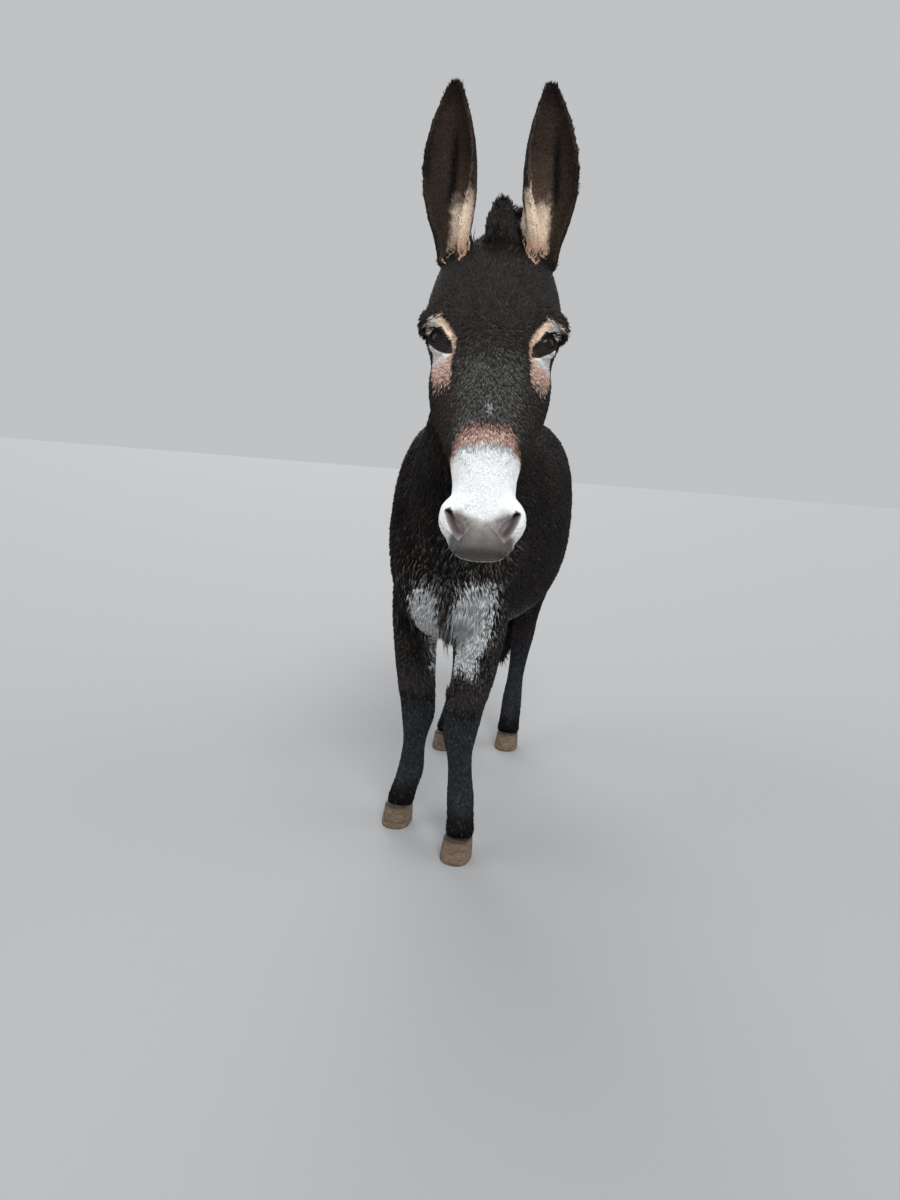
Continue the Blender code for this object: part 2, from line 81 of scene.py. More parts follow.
def head_axes(eye_line, slope):
    """Down the face, to the donkey's left and inwards, for a face that slopes forwards."""
    left = unit(eye_line)
    nose = unit(np.cross(np.array((eye_line[0], eye_line[1], 0.0)), UP))
    out = nose * math.cos(slope) + UP * math.sin(slope)
    out = unit(out - left * (out @ left))
    return np.array((np.cross(left, out), left, -out))


EYES = {side: middle(f"eye_{side}") for side, _ in SIDES}
EYE_RADIUS = float(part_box("eye_left")[1].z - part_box("eye_left")[0].z) / 2
EYE_LINE = EYES["left"] - EYES["right"]
FACE_SLOPE = math.radians(20.0)
HEAD_AXES = head_axes(EYE_LINE, FACE_SLOPE)
DOWN, LEFT, INWARDS = HEAD_AXES
# The place of the eyes, in head lengths: down the face, to the side and inwards.
EYE_DOWN, EYE_SIDE, EYE_IN = 0.348, 0.146, 0.074
HEAD = float(np.linalg.norm(EYE_LINE)) / (2 * EYE_SIDE)
FACE_TOP = (EYES["left"] + EYES["right"]) / 2 - (DOWN * EYE_DOWN + INWARDS * EYE_IN) * HEAD


def on_head(down, side, depth):
    """A place on the head, in hundredths of its length from the poll."""
    return FACE_TOP + (DOWN * down + LEFT * side + INWARDS * depth) * HEAD / 100


def head_place(points):
    """The reverse of on_head, for an array of points."""
    return ((points - FACE_TOP) @ HEAD_AXES.T * 100 / HEAD).T


# ---------------- small tools


def ramp(x, start, end):
    """0 at start and 1 at end, smooth between. The start may be the larger."""
    t = np.clip((x - start) / (end - start), 0.0, 1.0)
    return t * t * (3 - 2 * t)


def hill(x, centre, reach):
    """1 at the centre, falling smoothly to 0 at reach to both sides."""
    return 1 - ramp(np.abs(x - centre), 0.0, reach)


def blended(a, b, share):
    return a + (b - a) * share


def mixed(a, b, share):
    """Colours or directions between a and b, one for each share."""
    return blended(a, b, np.asarray(share)[..., None])


def noise(points, size, seed=0):
    """Smooth noise from -1 to 1 whose blobs are about the given size."""
    place = points / size + 17.3 * seed
    cell = np.floor(place).astype(np.int64)
    part = place - cell
    part = part * part * (3 - 2 * part)
    total = np.zeros(len(points))
    for corner in np.ndindex(2, 2, 2):
        at = cell + np.array(corner)
        key = at[:, 0] * 73856093 ^ at[:, 1] * 19349663 ^ at[:, 2] * 83492791
        key = (key ^ (key >> 13)) * 1274126177 & 0xFFFFFFFF
        value = ((key ^ (key >> 16)) & 0xFFFF) / 32767.5 - 1
        total += value * np.prod(np.where(corner, part, 1 - part), axis=1)
    return total


def tone(red, green, blue):
    """A linear colour from the three bytes that a paint program shows."""
    c = np.array((red, green, blue)) / 255
    return np.where(c <= 0.04045, c / 12.92, ((c + 0.055) / 1.055) ** 2.4)


def linked(obj):
    bpy.context.scene.collection.objects.link(obj)
    return obj


def object_of(name, bm):
    mesh = bpy.data.meshes.new(name)
    bm.to_mesh(mesh)
    bm.free()
    return linked(bpy.data.objects.new(name, mesh))


def applied(obj):
    """The object with its modifiers applied."""
    bpy.context.view_layer.update()
    graph = bpy.context.evaluated_depsgraph_get()
    mesh = bpy.data.meshes.new_from_object(obj.evaluated_get(graph))
    obj.modifiers.clear()
    old, obj.data = obj.data, mesh
    bpy.data.meshes.remove(old)
    return obj


def read(items, attribute, width=3, kind=np.float32):
    """An attribute of a mesh's items, as an array with a row for each."""
    flat = np.empty(len(items) * width, kind)
    items.foreach_get(attribute, flat)
    return flat.reshape(-1, width)


def corners_of(mesh):
    return read(mesh.vertices, "co").astype(float)


def surface_of(mesh):
    """The corners of a mesh and the ways outwards there."""
    return corners_of(mesh), read(mesh.vertex_normals, "vector").astype(float)


def set_corners(mesh, points):
    mesh.vertices.foreach_set("co", points.astype(np.float32).ravel())
    mesh.update()


GROUP_LEVELS = 8


def group_of(obj, name, weights):
    """A vertex group with the weights, rounded to a few levels."""
    group = obj.vertex_groups.new(name=name)
    level = np.round(np.clip(weights, 0, 1) * GROUP_LEVELS).astype(int)
    for step in np.unique(level):
        group.add(np.flatnonzero(level == step).tolist(), step / GROUP_LEVELS, "REPLACE")
    return group.name


def tinted(mesh, colours):
    """Gives a mesh a colour at each corner."""
    layer = mesh.color_attributes.new("tint", "FLOAT_COLOR", "POINT")
    rgba = np.ones((len(colours), 4), np.float32)
    rgba[:, :3] = colours
    layer.data.foreach_set("color", rgba.ravel())


def mesh_of(name, corners, triangles):
    mesh = bpy.data.meshes.new(name)
    mesh.vertices.add(len(corners))
    mesh.vertices.foreach_set("co", corners.astype(np.float32).ravel())
    mesh.loops.add(triangles.size)
    mesh.loops.foreach_set("vertex_index", triangles.astype(np.int32).ravel())
    mesh.polygons.add(len(triangles))
    mesh.polygons.foreach_set("loop_start", np.arange(0, triangles.size, 3, dtype=np.int32))
    mesh.polygons.foreach_set("use_smooth", np.ones(len(triangles), bool))
    mesh.update(calc_edges=True)
    return mesh


def remeshed(obj, voxel):
    """Grows the parts of an object together into one closed surface, once applied."""
    whole = obj.modifiers.new("whole", "REMESH")
    whole.mode = "VOXEL"
    whole.voxel_size = voxel
    return obj


# ---------------- regions of the body

NODES = frame["nodes"]
FLESH = (
    "head", "neck", "trunk", "foreleg_left", "foreleg_right", "hindleg_left",
    "hindleg_right", "ear_left", "ear_right", "tail",
)
HAIR_CORES = ("mane", "switch")  # locks that grow from a ridge or cord of their own
REGIONS = FLESH + HAIR_CORES


def region_finder():
    """A function that names the nearest node of each point, as its place in REGIONS."""
    corners, faces, owner = [], [], []
    for index, name in enumerate(REGIONS):
        mesh = NODES[name].data
        first = len(corners)
        corners.extend(v.co.copy() for v in mesh.vertices)
        for polygon in mesh.polygons:
            faces.append([first + v for v in polygon.vertices])
            owner.append(index)
    tree = BVHTree.FromPolygons(corners, faces)

    def nearest(points):
        return np.array([owner[tree.find_nearest(Vector(p))[2]] for p in points])

    return nearest


nearest_region = region_finder()


def is_in(region, *names):
    return np.isin(region, [REGIONS.index(name) for name in names])


# ---------------- the skin's base

VOXEL = 3.4 * MM
SKIN_TRIANGLES = 140000
HEAD_BACK = -0.54  # where the head gives way to the neck, along
HEAD_FADE = 0.05  # and over how far, to both sides


def head_share(points):
    """1 on the head and 0 on the body."""
    return ramp(points[:, 1], HEAD_BACK + HEAD_FADE, HEAD_BACK - HEAD_FADE)


def flesh_base():
    """The flesh nodes, with the eyes' sockets filled, grown together into one closed body."""
    bm = bmesh.new()
    for name in (*REGIONS, "eye_left", "eye_right"):
        bm.from_mesh(NODES[name].data)
    bmesh.ops.remove_doubles(bm, verts=bm.verts, dist=0.01 * MM)
    return keep_largest(applied(remeshed(object_of("skin", bm), VOXEL)))


def keep_largest(obj):
    """Drops every loose scrap but the largest."""
    mesh = obj.data
    a, b = read(mesh.edges, "vertices", 2, np.int32).T
    label = np.arange(len(mesh.vertices))
    settled = False
    while not settled:
        low = np.minimum(label[a], label[b])
        new = label.copy()
        np.minimum.at(new, a, low)
        np.minimum.at(new, b, low)
        new = new[new]
        settled = (new == label).all()
        label = new
    kept = np.bincount(label).argmax()
    bm = bmesh.new()
    bm.from_mesh(mesh)
    bm.verts.ensure_lookup_table()
    loose = [bm.verts[i] for i in np.flatnonzero(label != kept)]
    bmesh.ops.delete(bm, geom=loose, context="VERTS")
    bm.to_mesh(mesh)
    bm.free()
    return obj


def smoothed(obj, weights, rounds):
    """Irons out facets, more where the weights are larger."""
    step = obj.modifiers.new("smooth", "SMOOTH")
    step.factor = 0.5
    step.iterations = rounds
    step.vertex_group = group_of(obj, "smooth", weights)
    return applied(obj)


def thinned(obj, target):
    """Fewer faces on the body, and the head and ears as they are."""
    fewer = obj.modifiers.new("fewer", "DECIMATE")
    fewer.ratio = min(1.0, target / (2 * len(obj.data.polygons)))
    fewer.vertex_group = group_of(obj, "thin", head_share(corners_of(obj.data)) < 0.5)
    return applied(obj)


def refined(obj, centre, reach, size):
    """Splits the edges longer than size within reach of the centre."""
    mesh = obj.data
    points = corners_of(mesh)
    a, b = read(mesh.edges, "vertices", 2, np.int32).T
    near = np.linalg.norm((points[a] + points[b]) / 2 - centre, axis=1) < reach
    near &= np.linalg.norm(points[a] - points[b], axis=1) > size
    bm = bmesh.new()
    bm.from_mesh(mesh)
    bm.edges.ensure_lookup_table()
    split = [bm.edges[i] for i in np.flatnonzero(near)]
    bmesh.ops.subdivide_edges(bm, edges=split, cuts=1, use_grid_fill=True)
    bmesh.ops.triangulate(bm, faces=[f for f in bm.faces if len(f.verts) > 4])
    bm.to_mesh(mesh)
    bm.free()


# ---------------- the coat's depth

# On the trunk, the legs and the forehead, and in millimetres where it has no slopes.
TRUNK_DEPTH, LEG_DEPTH, FACE_DEPTH = 10 * MM, 4.5 * MM, 5.5 * MM
OWN_DEPTH = {"ear_left": 2, "ear_right": 2, "mane": 11, "tail": 7, "switch": 11}


def coat_depth(points, region):
    """How far the skin lies under the tips of the coat at each point."""
    down, _, inwards = head_place(points)
    _, y, z = points.T
    depth = TRUNK_DEPTH + 3 * MM * hill(z, 0.66, 0.16) * ramp(y, -0.05, -0.2)
    depth = blended(depth, LEG_DEPTH - 2.5 * MM * ramp(z, 0.12, 0.06), ramp(z, 0.56, 0.40))
    face = FACE_DEPTH - 1.5 * MM * ramp(down, 30, 50) - 3.0 * MM * ramp(down, 62, 72)
    face += 2.5 * MM * ramp(inwards, 14, 26) * ramp(down, 66, 50)
    depth = blended(depth, face, head_share(points))
    for name, own in OWN_DEPTH.items():
        depth = np.where(is_in(region, name), own * MM, depth)
    return depth


# ---------------- eyes and lids

GAZE = math.radians(46.0)  # how far an eye looks to the side
LID_SLANT = math.radians(34.0)  # how far the nose end of the slit lies lower
LID_HALF_LENGTH = 18.0 * MM
LID_RISE, LID_FALL = 12.0 * MM, 9.5 * MM  # how far the lids part, up and down
LID_PEAK = 0.12  # the slit is highest a little towards the nose, in half-lengths
LID_ARCH = 0.75  # how flat its arch is
LID_THICKNESS = 3.2 * MM
# The dark skin round the slit: its reach each way, its height and how much its corners sink.
DARK_NOSEWARDS, DARK_BACKWARDS = 34.0 * MM, 25.0 * MM
DARK_RISE, DARK_FALL = 18.5 * MM, 14.0 * MM
DARK_LEVEL, DARK_DROP = -3.0 * MM, -9.0 * MM
DARK_ARCH = 0.8
LID_REACH, LID_BACK = 42 * MM, -12 * MM  # how far the lids' forms go, aside and behind the eye
LID_SOFT = 7 * MM  # over how much they fade into the face
# Folds that follow the slit: distance from it, half their width and depth.
UPPER_FOLDS = ((7.5 * MM, 2.6 * MM, 1.6 * MM), (13 * MM, 3.0 * MM, 1.0 * MM))
LOWER_FOLDS = ((8.0 * MM, 2.6 * MM, 1.3 * MM),)


def eye_axes(sign):
    """Along the slit towards the nose, up across it and out of the eye."""
    gaze = -INWARDS * math.cos(GAZE) + LEFT * sign * math.sin(GAZE)
    inner = -INWARDS * math.sin(GAZE) - LEFT * sign * math.cos(GAZE)
    along = inner * math.cos(LID_SLANT) + DOWN * math.sin(LID_SLANT)
    above = np.cross(gaze, along) * -sign
    return np.array((along, above, gaze))


def eye_place(points, side, sign):
    """Along, up and out from the middle of an eye, in metres."""
    return (points - EYES[side]) @ eye_axes(sign).T


def slit_arch(along):
    """The share of the slit's height, at places along it in half-lengths."""
    peaked = np.clip(along - LID_PEAK * (1 - along**2), -1, 1)
    return (1 - peaked**2) ** LID_ARCH


def lid_gap(place):
    """How far inside the slit a place is, in metres; less than 0 on the lids and beyond."""
    x, y, _ = place.T
    arch = slit_arch(x / LID_HALF_LENGTH)
    inside = np.minimum(LID_RISE * arch - y, y + LID_FALL * arch)
    beyond = np.abs(x) - LID_HALF_LENGTH
    return np.where(beyond > 0, -np.hypot(beyond, y), inside)


def dark_gap(place):
    """How far inside the dark skin round the slit a place is, in metres. It reaches further
    than the slit at both corners, most towards the nose."""
    x, y, _ = place.T
    length = np.where(x > 0, DARK_NOSEWARDS, DARK_BACKWARDS)
    arch = np.clip(1 - (x / length) ** 2, 0, 1) ** DARK_ARCH
    level = np.where(x > 0, DARK_DROP, DARK_LEVEL) * np.abs(x / length)
    inside = np.minimum(level + DARK_RISE * arch - y, y - level + DARK_FALL * arch)
    beyond = np.abs(x) - length
    return np.where(beyond > 0, -np.hypot(beyond, y - level), inside)


def with_lids(points):
    """Draws the skin over the ball of each eye, leaving the slit open."""
    points = points.copy()
    for side, sign in SIDES:
        place = eye_place(points, side, sign)
        off_axis = np.hypot(place[:, 0], place[:, 1])
        near = (off_axis < LID_REACH) & (place[:, 2] > LID_BACK)
        place, off_axis = place[near], off_axis[near]
        along, above, out = place.T
        gap = lid_gap(place)
        shell = EYE_RADIUS + LID_THICKNESS
        dome = np.sqrt(np.clip(shell**2 - off_axis**2, 0, None)) - 30 * MM * (off_axis > shell)
        over = np.clip(0.5 + (dome - out) / (2 * LID_SOFT), 0, 1)
        out = out + (dome - out) * over + LID_SOFT * over * (1 - over)
        out += 0.9 * MM * hill(gap, -1.5 * MM, 3 * MM)
        upper = ramp(above, -2 * MM, 4 * MM)
        beside = ramp(np.abs(along), 20 * MM, 13 * MM)
        for folds, here in ((UPPER_FOLDS, upper), (LOWER_FOLDS, 1 - upper)):
            for distance, half_width, depth in folds:
                out -= depth * hill(gap, -distance, half_width) * here * beside
        inside = np.sqrt(np.clip((EYE_RADIUS - 2 * MM) ** 2 - off_axis**2, 0, None))
        place[:, 2] = blended(out, inside, ramp(gap, -0.2 * MM, 0.9 * MM))
        points[near] = place @ eye_axes(sign) + EYES[side]
    return points


# ---------------- nostrils and mouth

# The straight edge of a nostril, as places on the head: high at the side, low by the middle.
NOSTRIL_HIGH, NOSTRIL_LOW = (87.7, 10.4), (96.1, 7.3)
NOSTRIL_IN = 3.0  # about how deep the surface lies there, under the line of the face
NOSTRIL_WIDTH = 22.0 * MM
NOSTRIL_DEPTH = 15.0 * MM
WING_RIM, INNER_RIM = 2.4 * MM, 1.4 * MM  # how far its two edges stand out


def nostril_axes(sign):
    """Along the straight edge downwards, across it outwards, and into the nose."""
    high = on_head(NOSTRIL_HIGH[0], sign * NOSTRIL_HIGH[1], NOSTRIL_IN)
    low = on_head(NOSTRIL_LOW[0], sign * NOSTRIL_LOW[1], NOSTRIL_IN)
    into = unit(INWARDS * 0.88 - LEFT * sign * 0.40 - DOWN * 0.25)
    along = low - high
    length = np.linalg.norm(along)
    along = unit(along - into * (along @ into))
    across = unit(np.cross(into, along)) * sign
    return high, length, np.array((along, across, into))


def nostril_place(points, sign):
    """Share of the way down the straight edge, distance across it and share of the
    opening's own width there, which is 1 at its outer rim."""
    high, length, axes = nostril_axes(sign)
    place = (points - high) @ axes.T
    share = place[:, 0] / length
    belly = ramp(share, -0.05, 0.12) * (0.55 + 0.45 * ramp(share, 0.10, 0.60))
    belly *= ramp(share, 1.10, 0.78)
    return share, place[:, 1], place[:, 1] / (NOSTRIL_WIDTH * np.maximum(belly, 0.05))


def in_muzzle(points, sign):
    """True on one side of the end of the nose."""
    down, side, inwards = head_place(points)
    return (down > 82) & (down < 100) & (side * sign > 1.0) & (inwards < 13)


def with_nostrils(points):
    """Hollows the nostrils: steep at the straight edge, shallow towards the outer wing."""
    points = points.copy()
    for _, sign in SIDES:
        near = in_muzzle(points, sign)
        share, across, part = nostril_place(points[near], sign)
        ends = ramp(share, -0.04, 0.10) * ramp(share, 1.04, 0.86)
        steep = ramp(across, -1.5 * MM, 3.0 * MM)
        depth = NOSTRIL_DEPTH * ends * steep * ramp(part, 1.0, 0.25)
        rim = WING_RIM * hill(part, 1.25, 0.4) * ramp(share, 0.0, 0.2) * ramp(share, 1.1, 0.8)
        inner = INNER_RIM * hill(across, -3 * MM, 4 * MM) * ramp(share, -0.1, 0.1)
        rim += inner * ramp(share, 1.1, 0.9)
        into = nostril_axes(sign)[2][2]
        points[near] += into * (depth - rim)[:, None]
    return points


MOUTH_CORNER = 86.0  # how far down the head the lips meet
MOUTH_FRONT = 12.6  # depth of the slit at the lips, and how much it falls towards the corner
MOUTH_FALL = 0.30


def mouth_gap(points):
    """Signed distance over the slit of the mouth, in hundredths of the head."""
    down, _, inwards = head_place(points)
    return MOUTH_FRONT + (100 - down) * MOUTH_FALL - inwards


def with_mouth(points, normals):
    """Adds the slit of the mouth, the lips, the cleft of the upper lip and its wrinkles."""
    down, side, _ = head_place(points)
    share = ramp(down, MOUTH_CORNER - 1.5, MOUTH_CORNER + 2.0)
    gap = mouth_gap(points)
    groove = 3.6 * MM * np.exp(-((gap / 0.55) ** 2)) * share
    lips = 1.2 * MM * (hill(gap, 1.8, 1.6) + 0.7 * hill(gap, -1.7, 1.5)) * share
    cleft = 2.0 * MM * np.exp(-((side / 0.8) ** 2)) * ramp(down, 92, 95) * ramp(gap, 0.6, 2.5)
    wrinkle = 0.5 * MM * np.sin(down * 3.1 + side * 0.8) * ramp(down, 93, 96) * ramp(gap, 5.0, 2.0)
    out = lips - groove - cleft + wrinkle * ramp(gap, 0.0, 1.0)
    return points + normals * out[:, None]


# ---------------- forms under the coat


def with_muscles(points, normals):
    """Low swellings and hollows of bone and muscle, on both sides alike."""
    down, side, inwards = head_place(points)
    wide = np.abs(side)
    on_the_head = head_share(points)
    cheekbone = 2.2 * MM * hill(inwards - (down - 44) * 0.10, 13.5, 3.6) * ramp(down, 38, 44)
    hollow = 2.0 * MM * hill(wide, 11.8, 4.0) * ramp(down, 40, 48) * ramp(down, 84, 66)
    bridge = 1.5 * MM * hill(wide, 0.0, 3.0) * ramp(down, 20, 30) * ramp(down, 60, 45)
    brow = 1.5 * MM * hill(wide, 6.0, 4.5) * ramp(down, 12, 24) * ramp(down, 44, 32)
    out = cheekbone * ramp(down, 66, 56) - hollow * ramp(inwards, 12, 7) - bridge + brow
    out *= on_the_head

    _, y, z = points.T
    body = 1 - on_the_head
    front = ramp(-normals[:, 1], 0.1, 0.7) * ramp(y, 0.10, 0.0)
    back = ramp(normals[:, 1], 0.1, 0.7) * ramp(y, 0.10, 0.0)
    flank = body * ramp(np.abs(normals[:, 0]), 0.5, 0.9)
    knee = 4.0 * MM * hill(z, 0.385, 0.045) - 3.0 * MM * hill(z, 0.325, 0.035)
    heel = 3.0 * MM * hill(z, 0.395, 0.030) + 3.0 * MM * hill(z, 0.125, 0.035)
    shoulder = y - (z - 0.8) * 0.5
    out += body * front * knee
    out += body * back * heel
    out -= flank * 2.5 * MM * hill(z, 0.24, 0.09)
    out -= flank * 7 * MM * hill(y, 0.42, 0.10) * hill(z, 0.78, 0.16)
    out -= flank * 6 * MM * hill(shoulder, -0.02, 0.06) * hill(z, 0.82, 0.20)
    out += flank * 5 * MM * hill(shoulder, -0.10, 0.07) * hill(z, 0.78, 0.16)
    return points + normals * out[:, None]


# ---------------- the skin

# Reach of each finer mesh and its longest edge, in millimetres.
EYE_MESH = ((44, 2.4), (34, 1.4), (27, 0.9))
NOSTRIL_MESH = ((42, 2.4), (32, 1.5))
CHIN, CHIN_MESH = (97, 0, 12), ((60, 2.4),)


def ear_share(points):
    """1 on the free part of the ears."""
    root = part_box("ear_left")[0].z
    return ramp(points[:, 2], root + 0.02, root + 0.07) * head_share(points)


def made_skin():
    """The whole skin, and the region that each of its corners is in."""
    obj = flesh_base()
    place = corners_of(obj.data)
    obj = smoothed(obj, 1 - 0.88 * ear_share(place), 14)
    obj = smoothed(obj, (1 - head_share(place)) * (0.5 + 0.5 * ramp(place[:, 2], 0.35, 0.5)), 44)
    obj = thinned(obj, SKIN_TRIANGLES)
    finer = [(EYES[side], EYE_MESH) for side, _ in SIDES]
    for _, sign in SIDES:
        high, length, axes = nostril_axes(sign)
        finer.append((high + axes[0] * length / 2 + axes[1] * 5 * MM, NOSTRIL_MESH))
    finer.append((on_head(*CHIN), CHIN_MESH))
    for centre, steps in finer:
        for reach, size in steps:
            refined(obj, centre, reach * MM, size * MM)
    obj = smoothed(obj, 1 - 0.9 * ear_share(corners_of(obj.data)), 3)
    set_corners(obj.data, with_muscles(*surface_of(obj.data)))
    place, outwards = surface_of(obj.data)
    region = nearest_region(place)
    place = place - outwards * coat_depth(place, region)[:, None]
    set_corners(obj.data, place)
    place = with_mouth(place, surface_of(obj.data)[1])
    set_corners(obj.data, with_lids(with_nostrils(place)))
    whole = obj.modifiers.new("triangles", "TRIANGULATE")
    whole.quad_method = "BEAUTY"
    applied(obj)
    obj.data.shade_smooth()
    return obj, region


skin, skin_region = made_skin()
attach(skin, "root")
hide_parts(*FLESH)

# ---------------- markings

# The colours of the hair and of the bare skin, and of painted shade.
# Black-brown of the body's hair, painted darker than its own colour to stand for the shade the
# head casts on the neck and body.
SHADED_BLACK_BROWN = tone(17, 16, 15)
FACE_DARK = tone(51, 48, 46)
WARM_BROWN = tone(74, 58, 50)
SLATE = tone(45, 48, 52)
SLATE_HAIR = tone(68, 72, 77)
NEAR_BLACK = tone(14, 13, 13)
GREY_HAIR = tone(106, 105, 102)
DARK_GREY = tone(66, 64, 62)
SOFT_GREY = tone(96, 94, 90)
WHITE_HAIR = tone(231, 233, 234)
CREAM = tone(236, 216, 194)
PEACH = tone(192, 156, 134)
RUST = tone(164, 129, 118)
PINK_TAN = tone(200, 170, 157)
LIP_GREY = tone(98, 95, 91)
NOSTRIL_MAUVE = tone(156, 147, 148)
# Painted shade deep in the nostrils, along their straight edges.
NOSTRIL_DEEP_SHADE = tone(90, 77, 76)
MUZZLE_GREY = tone(134, 132, 129)
MUZZLE_WARM = tone(176, 168, 160)
LID_BROWN = tone(44, 37, 36)
# Painted shade, nearly black, in the slit of the mouth and the top notch of each nostril.
HOLLOW_SHADE = tone(30, 24, 23)
LID_BLACK = tone(18, 15, 14)
EAR_BACK = tone(38, 31, 27)
EAR_LINING = tone(60, 49, 41)

# The pale ring round an eye, as places on the head: its edge towards the nose, its top edge,
# and the outer edge of the patch below the eye.
RING_DOWN, RING_NOSEWARDS = (28.2, 30.2, 35.8, 45.0, 54.0), (14.5, 12.5, 10.5, 11.1, 12.6)
RING_ASIDE = (10.5, 12.5, 14.5, 17.5, 20.5, 24.0)
RING_TOP = (33.0, 29.2, 27.2, 28.2, 30.4, 32.6)
UNDER_DOWN, UNDER_OUTWARDS = (36.0, 40.0, 43.0, 48.0, 54.0), (19.5, 17.8, 17.2, 16.4, 15.0)


def ear_place(points, side):
    """Share of the way up an ear, and places across and behind its hollow's middle, as
    shares of its half-width."""
    low, high = (np.array(corner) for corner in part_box(f"ear_{side}"))
    share = (points[:, 2] - low[2]) / (high[2] - low[2])
    half = (high[0] - low[0]) / 2
    across = (points[:, 0] - (low[0] + high[0]) / 2) / half
    behind = (points[:, 1] - (low[1] + high[1]) / 2) / half
    return share, across, behind


def in_ear(points, outwards, side):
    """1 where the surface faces the hollow of the ear, and 0 on its back."""
    _, across, behind = ear_place(points, side)
    nose = unit(np.array((-INWARDS[0], -INWARDS[1], 0.0)))
    towards = -(outwards[:, 0] * across + outwards[:, 1] * (behind + 0.35))
    return ramp(towards + 0.25 * (outwards @ nose), 0.0, 0.25)


# The two white locks of the chest: x and z of the top and of the bottom, half the width, and
# how far back the locks reach at the bottom.
CHEST_LOCKS = (
    (-0.045, 0.715, -0.044, 0.430, 0.033, 0.34),
    (0.073, 0.725, 0.034, 0.455, 0.042, 0.08),
)


